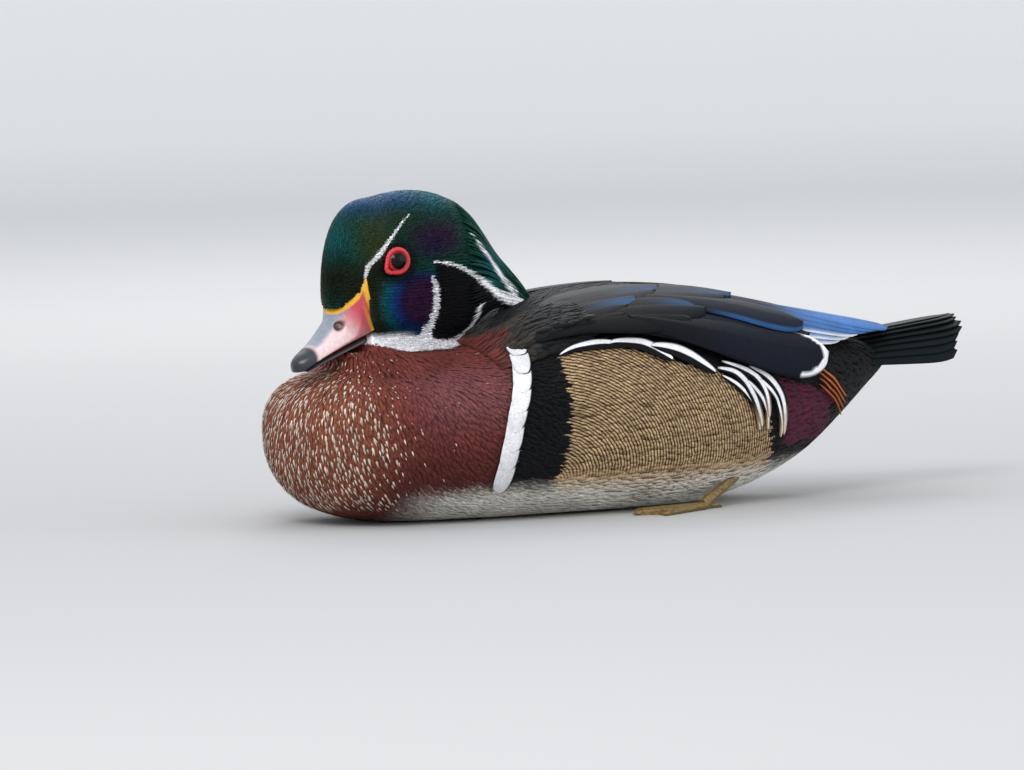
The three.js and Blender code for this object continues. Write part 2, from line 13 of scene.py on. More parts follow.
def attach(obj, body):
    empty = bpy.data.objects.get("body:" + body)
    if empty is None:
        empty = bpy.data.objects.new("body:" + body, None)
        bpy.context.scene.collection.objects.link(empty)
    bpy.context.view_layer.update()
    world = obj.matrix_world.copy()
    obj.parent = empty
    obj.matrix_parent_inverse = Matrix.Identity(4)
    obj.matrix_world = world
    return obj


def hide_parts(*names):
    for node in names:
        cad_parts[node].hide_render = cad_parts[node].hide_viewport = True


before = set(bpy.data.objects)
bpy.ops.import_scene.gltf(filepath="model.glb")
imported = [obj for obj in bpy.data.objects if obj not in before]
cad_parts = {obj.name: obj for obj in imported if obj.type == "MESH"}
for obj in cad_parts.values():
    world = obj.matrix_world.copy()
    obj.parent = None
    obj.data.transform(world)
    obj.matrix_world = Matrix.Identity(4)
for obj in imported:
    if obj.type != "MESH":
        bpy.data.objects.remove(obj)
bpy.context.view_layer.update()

MM = 0.001
RNG = np.random.default_rng(1478)
DUCK_ORIGIN = np.array([-182.0, 0.0, 0.0])  # from the breast to the middle of the length
HEAD_AT = np.array([50.0, -1.0, 124.0])
HEAD_YAW = math.radians(195)
COAT_DEPTH = 1.5  # how far the skin lies under the outline of body and head
CHUNK = 190000  # most triangles in one coat piece

# Body stations from breast to vent: x, half width, top, height of the widest line, bottom
BODY = np.array([
    [0, 0, 44, 44, 44],
    [2.5, 20, 58, 44, 28],
    [11, 40, 68, 44, 13],
    [28, 57, 74, 45, 3],
    [55, 67, 77, 46, -2],
    [90, 72, 83, 47, -4],
    [130, 75, 96, 48, -4],
    [170, 74, 100, 48, -4],
    [208, 67, 98, 48, -2],
    [240, 55, 92, 50, 5],
    [268, 43, 85, 54, 17],
    [290, 32, 79, 58, 33],
    [308, 22, 74, 62, 48],
    [320, 12, 70, 64, 57],
    [325, 0, 65, 65, 65],
], float)
BODY_POWER = 2.25

# Head stations from the bill's root to the crest's tip: x, half width, top, widest line, bottom, bend
HEAD = np.array([
    [28, 0, -21.5, -21.5, -21.5, 0],
    [27, 4, -11, -21, -26, 0],
    [23.5, 10.8, 9.5, -17, -31, 0],
    [17, 15.6, 23, -12, -35.5, 0],
    [8.5, 18.3, 29.5, -11, -39.5, 0],
    [-2, 20.3, 31, -12, -43, 0],
    [-14, 22.3, 32.5, -13, -45, 0],
    [-27, 22.8, 32.5, -13, -45.5, 0.6],
    [-39, 21, 30, -13, -43.5, 2.6],
    [-50, 16.5, 23, -13, -38, 5.6],
    [-60, 10.8, 10, -14, -30, 9.4],
    [-69, 5.6, -6, -18, -26, 13.4],
    [-76, 0, -23, -23, -23, 16],
], float)
HEAD_POWER = 2.35

# Neck stations from the breast up into the head: x, y, z, half length, half width
NECK = np.array([
    [72, 0, 62, 46, 52],
    [70, 0, 71, 44, 43],
    [67, -0.5, 78, 40, 32],
    [62, -1, 84, 34, 21],
    [58, -1.5, 98, 24, 10],
], float)

BILL_PITCH = math.radians(23)
BILL_ROOT = (10.0, -32.3)
# Bill stations from its root: place along the bill, half width, height of the middle and of the sides
UPPER_BILL = np.array([
    [-9, 12.9, 29, 0.2],
    [-5, 12.8, 30, 0.2],
    [0, 12.5, 27, 0.2],
    [5, 11.7, 21.5, 0.2],
    [10.6, 10.3, 15.2, 0.2],
    [18, 8.9, 10.9, 0.3],
    [26, 8.1, 7.6, 0.4],
    [33, 7.4, 6, 0.3],
    [38, 6.3, 5.3, -0.5],
    [41.5, 4.3, 4.2, -1.2],
    [43.2, 1.2, 2.2, -1.0],
], float)
LOWER_BILL = np.array([
    [-4, 8.6, -0.2, -4.6],
    [4, 8.8, -0.2, -4.4],
    [14, 8, -0.2, -3.7],
    [24, 7.1, -0.1, -3],
    [32, 6.3, -0.1, -2.5],
    [38, 4.8, -0.9, -2.6],
    [40, 1.5, -1.4, -2.2],
], float)
BILL_EDGE = ((26.3, -22.0), (14.4, -7.0), (10.3, -32.5))

EYE_AT = np.array([-1.5, 14.6, 0.0])
EYE_RADIUS = 6.6
EYE_SET_IN = 0.1

# Camera, from the photograph
CAMERA_AZIMUTH = -27.0
CAMERA_ELEVATION = 4.2
CAMERA_ROLL = 1.5
CAMERA_DISTANCE = 7000.0
PIXELS_PER_MM = 2.116
FRAME_PX = (1024, 770)
ANCHOR_PX = (280.2, 459.7)  # where the photograph shows ANCHOR_AT
ANCHOR_AT = np.array([0.0, 0.0, 32.0])


def smooth(low, high, value):
    """Smooth step from 0 at low to 1 at high, which may be the smaller of the two."""
    t = np.clip((value - low) / (high - low), 0, 1)
    return t * t * (3 - 2 * t)


def mix(a, b, share):
    """Colour a blended into colour b by a share at each place."""
    share = np.asarray(share)[..., None]
    return a * (1 - share) + b * share


def unit(v):
    return v / np.maximum(np.linalg.norm(v, axis=-1, keepdims=True), 1e-9)


def station(rows, t):
    """Rows of a station table at positions t, blended smoothly between their neighbours."""
    t = np.clip(np.asarray(t, float), 0, len(rows) - 1)
    i = np.minimum(t.astype(int), len(rows) - 2)
    f = (t - i)[..., None]
    a, b, c, d = (rows[np.clip(i + k, 0, len(rows) - 1)] for k in (-1, 0, 1, 2))
    return b + 0.5 * f * (c - a + f * (2 * a - 5 * b + 4 * c - d + f * (3 * b - a - 3 * c + d)))


def section(angle, half, up, down, power):
    """Sideways and upward places round a rounded cross-section, from its top at angle 0."""
    s, c = np.sin(angle), np.cos(angle)
    across = half * np.sign(s) * np.abs(s) ** (2 / power)
    return across, np.where(c > 0, up, down) * np.sign(c) * np.abs(c) ** (2 / power)


def body_point(t, angle, grow=0.0):
    """Point of the body at a place in the station table and an angle from the back, never under the floor."""
    x, half, top, wide, bottom = np.moveaxis(station(BODY, t), -1, 0)
    swell = grow * np.minimum(1, half / 8)
    y, z = section(angle, half + swell, top - wide + swell, wide - bottom + swell, BODY_POWER)
    return np.stack([x, y, np.maximum(max(0.0, -grow), wide + z)], -1)


T_SAMPLES = np.linspace(0, len(BODY) - 1, 3000)
X_SAMPLES = station(BODY, T_SAMPLES)[:, 0]


def over_body(x, degrees, lift):
    """Points at a height over the body's surface. Angles count from the back, negative on the left."""
    t = np.interp(x, X_SAMPLES, T_SAMPLES)
    a = np.radians(degrees)
    along = body_point(t + 0.04, a) - body_point(t - 0.04, a)
    around = body_point(t, a + 0.04) - body_point(t, a - 0.04)
    return body_point(t, a) + unit(np.cross(along, around)) * np.asarray(lift)[..., None]


def head_point(t, angle, grow=0.0):
    """Point of the head and crest, in the head's own frame."""
    x, half, top, wide, bottom, bend = np.moveaxis(station(HEAD, t), -1, 0)
    swell = grow * np.minimum(1, half / 5)
    y, z = section(angle, half + swell, top - wide + swell, wide - bottom + swell, HEAD_POWER)
    return np.stack([x, bend + y, wide + z], -1)


def from_head(points):
    c, s = math.cos(HEAD_YAW), math.sin(HEAD_YAW)
    x, y, z = np.moveaxis(np.asarray(points, float), -1, 0)
    return np.stack([x * c - y * s, x * s + y * c, z], -1) + HEAD_AT


def to_head(points):
    c, s = math.cos(HEAD_YAW), math.sin(HEAD_YAW)
    x, y, z = np.moveaxis(np.asarray(points, float) - HEAD_AT, -1, 0)
    return np.stack([x * c + y * s, -x * s + y * c, z], -1)


def grid_faces(rows, columns, closed=True):
    """Triangles over rings of points. Columns wrap round when closed."""
    i, j = np.meshgrid(np.arange(rows - 1), np.arange(columns if closed else columns - 1), indexing="ij")
    i, j = i.ravel(), j.ravel()
    k = (j + 1) % columns
    a, b, c, d = i * columns + j, i * columns + k, (i + 1) * columns + k, (i + 1) * columns + j
    return np.concatenate([np.stack([a, b, c], 1), np.stack([a, c, d], 1)])


def sheet_faces(rows, columns):
    """The grid of a thin sheet, and all its triangles: top, underside and the walls round its rim."""
    grid = grid_faces(rows, columns, closed=False)
    under = rows * columns
    rim = np.concatenate([
        np.arange(columns),
        np.arange(1, rows) * columns + columns - 1,
        (rows - 1) * columns + np.arange(columns - 2, -1, -1),
        np.arange(rows - 2, 0, -1) * columns,
    ])
    after = np.roll(rim, -1)
    walls = [np.stack([rim, rim + under, after + under], 1), np.stack([rim, after + under, after], 1)]
    return grid, np.concatenate([grid, grid[:, ::-1] + under, *walls])


def loft(rings):
    """Points and triangles of a tube through rings, with a middle point that caps each end."""
    rows, columns = rings.shape[:2]
    points = np.concatenate([rings.reshape(-1, 3), rings[:1].mean(1), rings[-1:].mean(1)])
    first, last = rows * columns, rows * columns + 1
    j = np.arange(columns)
    k = (j + 1) % columns
    start = np.stack([np.full(columns, first), k, j], 1)
    end = np.stack([np.full(columns, last), (rows - 1) * columns + j, (rows - 1) * columns + k], 1)
    return points, np.concatenate([grid_faces(rows, columns), start, end])


def put(name, data):
    """A new object in the scene."""
    thing = bpy.data.objects.new(name, data)
    bpy.context.scene.collection.objects.link(thing)
    return thing


def add_colours(mesh, name, values):
    """A colour for each vertex, from rows of red, green and blue."""
    layer = mesh.color_attributes.new(name, "FLOAT_COLOR", "POINT")
    rgba = np.concatenate([values, np.ones((len(values), 1), np.float32)], 1)
    layer.data.foreach_set("color", rgba.ravel())


def make_object(name, points, triangles, material, attributes=None, uv=None, flip=False):
    """A mesh object from points in millimetres in the duck's frame."""
    triangles = np.asarray(triangles, np.int32)
    if flip:
        triangles = triangles[:, ::-1]
    mesh = bpy.data.meshes.new(name)
    mesh.vertices.add(len(points))
    mesh.vertices.foreach_set("co", ((np.asarray(points) + DUCK_ORIGIN) * MM).astype(np.float32).ravel())
    mesh.loops.add(triangles.size)
    mesh.loops.foreach_set("vertex_index", triangles.ravel())
    mesh.polygons.add(len(triangles))
    mesh.polygons.foreach_set("loop_start", np.arange(len(triangles), dtype=np.int32) * 3)
    mesh.update(calc_edges=True)
    mesh.polygons.foreach_set("use_smooth", np.ones(len(triangles), bool))
    for key, values in (attributes or {}).items():
        values = np.asarray(values, np.float32)
        if values.ndim == 2:
            add_colours(mesh, key, values)
        else:
            mesh.attributes.new(key, "FLOAT", "POINT").data.foreach_set("value", values)
    if uv is not None:
        layer = mesh.uv_layers.new(name="OFBake")
        layer.data.foreach_set("uv", np.asarray(uv, np.float32)[triangles.ravel()].ravel())
    mesh.materials.append(material)
    piece = put(name, mesh)
    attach(piece, "root")
    return piece


def rings_object(name, rings, material, attributes, flip=False):
    points, faces = loft(rings)
    return make_object(name, points, faces, material, attributes, flip=flip)


# Materials


def tree_of(name):
    """A new material with its node tree and shader."""
    material = bpy.data.materials.new(name)
    material.use_nodes = True
    tree = material.node_tree
    return material, tree, tree.nodes["Principled BSDF"]


def set_sockets(node, **values):
    """Sets a node's sockets, each named by its label with underscores for spaces."""
    for key, value in values.items():
        node.inputs[key.replace("_", " ")].default_value = value


def add(tree, kind, **settings):
    """A new node. Each setting is a socket's value or else a property."""
    node = tree.nodes.new(kind)
    for key, value in settings.items():
        if key in node.inputs:
            node.inputs[key].default_value = value
        else:
            setattr(node, key, value)
    return node


def attribute(tree, name, output="Fac"):
    return add(tree, "ShaderNodeAttribute", attribute_name=name).outputs[output]


def math_node(tree, operation, a, b=None):
    """An operation on numbers or other nodes' outputs."""
    node = add(tree, "ShaderNodeMath", operation=operation)
    for socket, value in zip(node.inputs, (a, b)):
        if value is None:
            continue
        if isinstance(value, (int, float)):
            socket.default_value = value
        else:
            tree.links.new(value, socket)
    return node.outputs[0]


def wave(tree, phase):
    return math_node(tree, "SINE", math_node(tree, "MULTIPLY", phase, 2 * math.pi))


def object_position(tree, per_metre):
    where = add(tree, "ShaderNodeTexCoord")
    size = add(tree, "ShaderNodeMapping", vector_type="POINT")
    size.inputs["Scale"].default_value = (per_metre, per_metre, per_metre)
    tree.links.new(where.outputs["Object"], size.inputs["Vector"])
    return size.outputs["Vector"]


def noise(tree, per_metre, detail, roughness=0.5):
    node = add(tree, "ShaderNodeTexNoise", Scale=1.0, Detail=detail, Roughness=roughness)
    tree.links.new(object_position(tree, per_metre), node.inputs["Vector"])
    return node.outputs["Fac"]


def map_range(tree, value, low, high, to_low, to_high):
    node = add(tree, "ShaderNodeMapRange")
    set_sockets(node, From_Min=low, From_Max=high, To_Min=to_low, To_Max=to_high)
    tree.links.new(value, node.inputs["Value"])
    return node.outputs["Result"]


def shaded(tree, value, least, most):
    """A factor that a noise value moves between a least and a most."""
    return map_range(tree, value, 0.3, 0.7, least, most)


def link_colour(tree, shader, colour, factor):
    scaled = add(tree, "ShaderNodeVectorMath", operation="SCALE")
    tree.links.new(colour, scaled.inputs[0])
    tree.links.new(factor, scaled.inputs["Scale"])
    tree.links.new(scaled.outputs["Vector"], shader.inputs["Base Color"])


def link_bump(tree, shader, height, strength, distance):
    bump = add(tree, "ShaderNodeBump", Strength=strength, Distance=distance)
    tree.links.new(height, bump.inputs["Height"])
    tree.links.new(bump.outputs["Normal"], shader.inputs["Normal"])


def colour_ramp(tree, value, stops):
    """A colour that runs through stops, each a position and a colour, as a value rises."""
    ramp = add(tree, "ShaderNodeValToRGB")
    tree.links.new(value, ramp.inputs["Fac"])
    elements = ramp.color_ramp.elements
    while len(elements) < len(stops):
        elements.new(0.5)
    for element, (position, colour) in zip(elements, stops):
        element.position = position
        element.color = (*colour, 1)
    return ramp.outputs["Color"]


GRAINS_PER_METRE = 900
BLOTCHES_PER_METRE = 70
BAR_INK = (0.03, 0.018, 0.01, 1)
GLOSSY_ROUGHNESS = 0.36  # of plumage with full shine


def barred_colour(tree, tint):
    """The tint crossed by fine wavy dark bars where the barred attribute says so."""
    wobble = math_node(tree, "MULTIPLY", noise(tree, 260, 2.0), 0.9)
    bars = wave(tree, math_node(tree, "ADD", attribute(tree, "bars"), wobble))
    line = map_range(tree, bars, -0.25, 0.45, 0.0, 0.92)
    ink = add(tree, "ShaderNodeMix", data_type="RGBA")
    ink.inputs["B"].default_value = BAR_INK
    tree.links.new(math_node(tree, "MULTIPLY", line, attribute(tree, "barred")), ink.inputs["Factor"])
    tree.links.new(tint, ink.inputs["A"])
    return ink.outputs["Result"]


def plumage(name, roughness, sheen, contrast, barred=False):
    """Feather material: the vertices' tint under a grain, barbs in relief, and gloss from the shine."""
    material, tree, shader = tree_of(name)
    tint = attribute(tree, "tint", "Color")
    grain = noise(tree, GRAINS_PER_METRE, 3.0, 0.6)
    blotches = shaded(tree, noise(tree, BLOTCHES_PER_METRE, 2.0), 0.85, 1.12)
    shade = math_node(tree, "MULTIPLY", shaded(tree, grain, 1 - contrast, 1 + contrast), blotches)
    link_colour(tree, shader, barred_colour(tree, tint) if barred else tint, shade)
    shine = attribute(tree, "shine")
    tree.links.new(math_node(tree, "MULTIPLY", shine, 0.5), shader.inputs["Metallic"])
    tree.links.new(map_range(tree, shine, 0.0, 1.0, roughness, GLOSSY_ROUGHNESS), shader.inputs["Roughness"])
    set_sockets(shader, Specular_IOR_Level=0.1, Sheen_Weight=sheen, Sheen_Roughness=0.5)
    barbs = math_node(tree, "MULTIPLY", wave(tree, attribute(tree, "barb")), 0.35)
    link_bump(tree, shader, math_node(tree, "ADD", barbs, grain), 0.35, 0.0003)
    return material


def skin_like(name, roughness, bumps, distance, coat):
    """Horn or bare skin: colour from the tint, with fine bumps of a size given in bumps per metre."""
    material, tree, shader = tree_of(name)
    grain = noise(tree, bumps, 4.0, 0.6)
    link_colour(tree, shader, attribute(tree, "tint", "Color"), shaded(tree, grain, 0.88, 1.12))
    rough = map_range(tree, grain, 0.0, 1.0, roughness - 0.08, roughness + 0.1)
    tree.links.new(rough, shader.inputs["Roughness"])
    set_sockets(shader, Coat_Weight=coat, Subsurface_Weight=0.05, Subsurface_Radius=(0.002, 0.001, 0.001))
    link_bump(tree, shader, grain, 0.4, distance)
    return material


def srgb(*values):
    """Linear colour from red, green and blue of 0 to 255."""
    v = np.array(values, float) / 255
    return np.where(v <= 0.04045, v / 12.92, ((v + 0.055) / 1.055) ** 2.4)


# Colours of the plumage, as seen
CHESTNUT = srgb(112, 53, 47)
CHESTNUT_DARK = srgb(72, 30, 28)
ROSE = srgb(122, 72, 74)
RUSSET = srgb(148, 88, 64)
SHOULDER = srgb(58, 54, 48)
CREAM = srgb(238, 220, 202)
WHITE = srgb(240, 240, 242)
BLACK = srgb(9, 10, 13)
BUFF = srgb(194, 163, 122)
MANTLE = srgb(26, 27, 28)
GREEN = srgb(14, 62, 48)
TEAL = srgb(16, 100, 110)
BLUE = srgb(26, 62, 138)
CROWN_BLUE = srgb(40, 84, 130)
PURPLE = srgb(66, 28, 70)
VIOLET = srgb(40, 26, 78)
BRONZE = srgb(60, 66, 36)
OLIVE = srgb(30, 36, 24)
MAROON = srgb(84, 30, 52)
ORANGE = srgb(206, 108, 52)
WING_BLUE = srgb(78, 124, 184)
NAVY = srgb(10, 16, 30)
SCAPULAR_BLUE = srgb(36, 78, 122)
BELLY = srgb(226, 222, 212)

FEATHERS = plumage("plumage_body", 0.75, 0.02, 0.18, barred=True)
SILK = plumage("plumage_head", 0.55, 0.0, 0.3)
VANES = plumage("plumage_wing", 0.6, 0.0, 0.15)
HORN = skin_like("horn", 0.34, 420, 0.00012, coat=0.25)
LID_SKIN = skin_like("bare_lid", 0.4, 1500, 0.0002, coat=0.2)


def polyline_distance(x, z, line):
    """Distance to a line through points, and how far along it, from 0 to 1."""
    line = np.asarray(line, float)
    lengths = np.linalg.norm(np.diff(line, axis=0), axis=1)
    before = np.concatenate([[0], np.cumsum(lengths)])
    best = np.full(np.shape(x), 1e9)
    where = np.zeros(np.shape(x))
    for i in range(len(line) - 1):
        (ax, az), (bx, bz) = line[i], line[i + 1]
        f = np.clip(((x - ax) * (bx - ax) + (z - az) * (bz - az)) / lengths[i] ** 2, 0, 1)
        d = np.hypot(x - ax - f * (bx - ax), z - az - f * (bz - az))
        closer = d < best
        best = np.where(closer, d, best)
        where = np.where(closer, (before[i] + f * lengths[i]) / before[-1], where)
    return best, where


# Markings of the head, seen from its side: x forwards and z upwards from between the eyes.
# White lines: places along the line, softness of its edge, shares of its length, half widths there
WHITE_LINES = (
    (((14.6, -6.6), (14.1, -1.5), (10.5, 2.1), (5.6, 7), (-0.4, 12.4), (-5.8, 17.3), (-11.7, 21.2)),
     0.25, (0, 0.25, 0.6, 1), (1.1, 1.2, 0.6, 0.25)),
    (((-47, 10), (-55.8, 1.1), (-60.5, -4.9), (-65.3, -10.9), (-74, -20)),
     0.3, (0, 0.3, 1), (0.25, 0.9, 1.5)),
    (((-21, -1.5), (-27.2, -2.3), (-32.6, -3.6), (-39.5, -6.4), (-47.6, -10.2), (-56, -15.5), (-65.7, -21),
      (-80, -26)),
     0.3, (0, 0.2, 0.6, 1), (0.5, 0.9, 1.6, 2.4)),
    (((14, -36), (8, -38), (0, -38.8), (-9, -39.2), (-16, -39.8), (-22, -40.8), (-30, -41.0), (-40, -40.2),
      (-46.5, -36.5), (-49.5, -31), (-51, -24.5)),
     0.4, (0, 0.12, 0.28, 0.38, 0.46, 0.6, 0.72, 0.85, 1.0), (1.3, 2.3, 3.1, 3.4, 2.4, 1.9, 1.8, 1.6, 0.9)),
    (((-15.5, -37.5), (-19.2, -32), (-20.8, -25), (-21, -17), (-20.3, -12), (-19.3, -8.6)),
     0.4, (0, 0.3, 0.8, 1), (3.2, 2.5, 2.2, 0.8)),
)
# Lower edge of the head's plumage, and upper edge of the black behind the cheek
HOOD_EDGE = (
    (-95, -60, -53, -50, -47, -42, -30, 0, 14, 30),
    (-28, -28, -30, -34, -39, -42, -43.4, -42.8, -38, -30),
)
BLACK_EDGE = ((-80, -66, -56, -40, -27, -20), (-26, -21, -15.5, -6.6, -2.2, -1))

# Iridescent patches: where each lies, how far it reaches, its colour and its strength
HEAD_PATCHES = (
    (28, 17, 9, 14, TEAL, 1.0),
    (24, -9, 11, 11, OLIVE * 0.8, 1.0),
    (13, 18, 6, 12, GREEN * 1.5, 0.7),
    (12, 27, 14, 6, CROWN_BLUE, 0.9),
    (-8, 31, 20, 6, CROWN_BLUE, 0.9),
    (-30, 29, 12, 6, TEAL, 0.8),
    (10, 8, 8, 13, BRONZE, 1.0),
    (-4, 21, 12, 5, BRONZE, 0.45),
    (18, -13, 6.5, 10, OLIVE, 1.0),
    (9, -2, 6, 7, OLIVE, 0.8),
    (-16, 10, 9, 7, OLIVE, 0.8),
    (-28, 10, 15, 8, PURPLE * 0.6, 0.95),
    (-20, 6, 8, 6, VIOLET * 0.7, 0.7),
    (-46, 12, 9, 10, GREEN * 1.3, 0.9),
    (-58, -6, 9, 9, TEAL * 0.7, 0.8),
    (-46, -2, 8, 6, GREEN * 0.8, 0.6),
)
CHEEK_CENTRE = (-13.0, -19.0)
CHEEK_RADII = (0, 8, 11, 14, 18, 22, 27)
CHEEK_COLOURS = np.array([
    PURPLE * 0.5, PURPLE * 0.75, VIOLET * 0.9, BLUE * 0.85, TEAL * 0.8, OLIVE * 1.4, OLIVE,
])


def in_hood(points):
    """Whether points belong to the head's plumage rather than the neck's and body's."""
    h = to_head(points)
    return (h[..., 2] > np.interp(h[..., 0], *HOOD_EDGE)) & (h[..., 0] < 32) & (h[..., 0] > -78)


# Lines on the body's side: heights, and the x that the line has there
BAR_FRONT = ((0, 20, 31, 40, 50, 59, 68, 76, 84), (78, 80, 81.3, 82.6, 84.7, 88, 93, 100, 106))
BAR_REAR = ((0, 20, 30, 38, 47, 58, 67, 76, 83), (85.5, 87, 88, 89.2, 90.9, 94.4, 98.2, 103, 103.8))
BLACK_REAR = ((0, 20, 29, 39, 48, 57, 65, 72, 80), (110, 110.5, 111.3, 113.3, 114, 115, 115.3, 115.5, 118))
FLANK_REAR = ((0, 20, 32, 40, 50, 58, 66, 70), (232, 240, 242, 241, 238, 229, 216, 201))
ARCS_FROM = ((0, 30, 44, 50, 58, 64, 70), (236, 232, 224, 219, 212, 202, 197))
# Top of the barred flank: x, and its height there
FLANK_TOP = (
    (105, 118, 128, 139, 159, 174, 190, 197, 215, 230, 240, 246),
    (78, 79, 80, 80, 78.5, 73, 69, 65.5, 62, 56, 48, 30),
)
BAR_TOP = 83


def paint_head(points, jitter):
    """Colour and shine of the head's plumage at points."""
    h = to_head(points)
    x, z = h[:, 0] + jitter[:, 0], h[:, 2] + jitter[:, 1]
    colour = np.tile(GREEN, (len(points), 1))
    for centre_x, centre_z, reach_x, reach_z, patch, strength in HEAD_PATCHES:
        weight = strength * np.exp(-((x - centre_x) / reach_x) ** 2 - ((z - centre_z) / reach_z) ** 2)
        colour = mix(colour, patch, weight)
    # The cheek's colours run in arcs about its hind edge
    radius = np.hypot(x - CHEEK_CENTRE[0], z - CHEEK_CENTRE[1])
    cheek = smooth(-4, -9, z) * smooth(-24, -19, x) * smooth(20, 12, x)
    arcs = np.stack([np.interp(radius, CHEEK_RADII, CHEEK_COLOURS[:, k]) for k in range(3)], -1)
    arcs = arcs * (1 - 0.6 * smooth(-25, -33, z))[:, None]
    colour = mix(colour, arcs, cheek * 0.95)
    around_eye = smooth(12, 7, np.hypot(x + 1.5, (z + 1) * 0.9))
    colour = mix(colour, BLACK * 1.4, around_eye * 0.9)
    shine = 0.8 - 0.5 * around_eye
    # Black behind the cheek and under the crest
    black = smooth(-19.5, -22.5, x) * smooth(0.6, -0.6, z - np.interp(x, *BLACK_EDGE))
    colour = mix(colour, BLACK, black)
    shine = shine * (1 - black) + 0.1 * black
    white = smooth(-33, -37, z) * smooth(-12, -4, x)  # the throat between both sides of the chin
    for line, soft, shares, widths in WHITE_LINES:
        distance, along = polyline_distance(x, z, line)
        white = np.maximum(white, smooth(soft, -soft, distance - np.interp(along, shares, widths)))
    return mix(colour, WHITE, white), shine * (1 - white)


def shoulder_reach(x, y):
    """Distance across the line at which the chestnut ends, further back beside the neck than on the side."""
    return x + 0.3 * np.abs(y) + 14 * smooth(20, 8, np.abs(y))


def breast_colour(x, y, z):
    """Chestnut, russet at the front, rosier on the side, darker below, and grey-brown over the shoulder."""
    colour = mix(CHESTNUT, ROSE, smooth(78, 64, z) * smooth(30, 60, x) * smooth(40, 60, z) * 0.9)
    colour = mix(colour, RUSSET, smooth(46, 10, x) * smooth(92, 76, z) * 0.85)
    colour = mix(colour, CHESTNUT_DARK, smooth(50, 18, z) * smooth(10, 40, x) * 0.6)
    return mix(colour, SHOULDER, smooth(60, 78, z) * smooth(104, 112, shoulder_reach(x, y)))


def mantle_share(x, y):
    """How far the shoulder has turned from chestnut and grey-brown to the mantle's black."""
    return smooth(112, 124, shoulder_reach(x, y))


def paint_body(points, jitter):
    """Colour, shine and strength of the fine bars of the body's plumage at points."""
    x, y, z = points[:, 0] + jitter[:, 0], points[:, 1], points[:, 2] + jitter[:, 1]
    colour = breast_colour(x, y, z)
    below = z < BAR_TOP + 0.02 * jitter[:, 0]
    bar_end = np.interp(z, *BAR_REAR) - 3.0
    flank_end = np.interp(z, *FLANK_REAR)
    colour[(x > np.interp(z, *BAR_FRONT) + 1.8) & (x < bar_end) & below] = WHITE
    colour[(x >= bar_end) & below] = BLACK
    mantle = (~below) & (x > 96)
    colour = np.where(mantle[:, None], mix(colour, MANTLE, mantle_share(x, y)), colour)
    shine = np.where(mantle, 0.25, 0.05)
    sides = (x > np.interp(z, *BLACK_REAR)) & below & (x < flank_end)
    colour[sides] = BLACK
    flank = sides & (z < np.interp(x, *FLANK_TOP)) & (x < np.interp(z, *ARCS_FROM))
    colour[flank] = BUFF
    tail_side = (x > flank_end) & (x > 225) & (z < 74)
    colour[tail_side] = BLACK
    maroon = tail_side & (x < 274) & (z > 26) & (z < 60 - 0.25 * (x - 240))
    colour[maroon] = MAROON
    back = (z > 80) & (x > 200)
    colour[back] = BLACK
    shine = np.where(back | (tail_side & ~maroon), 0.3, shine)
    colour = mix(colour, BELLY, smooth(22, 10, z) * smooth(300, 255, x) * smooth(30, 60, x))
    return colour, shine, flank * (1 - smooth(26, 16, z))


BARS_CENTRE = (110.0, 18.0)
BARS_SPACING = 1.45


def bars_phase(points):
    """Phase of the flank's fine bars, which run in arcs about a point low down behind the black bar."""
    x, z = points[..., 0], points[..., 2]
    return np.hypot((x - BARS_CENTRE[0]) * 0.9, z - BARS_CENTRE[1]) / BARS_SPACING


def vane_faces(rings, sides, count):
    """Triangles of many thin vanes, each a tube through rings with both ends closed."""
    last = (rings - 1) * sides
    caps = [[0, 2, 1], [last, last + 1, last + 2]]
    if sides == 4:
        caps = [[0, 2, 1], [0, 3, 2], [last, last + 1, last + 2], [last, last + 2, last + 3]]
    one = np.concatenate([grid_faces(rings, sides), caps])
    return (one + (np.arange(count) * rings * sides)[:, None, None]).reshape(-1, 3)


UV_PATCH = 0.003  # length of one tuft on the unwrap
TUFT_TIP = 0.14  # width of a tuft's tip, as a share of its middle
TUFT_LEAVES_AT = 1.2  # a tuft further than this from its surface no longer bends to it


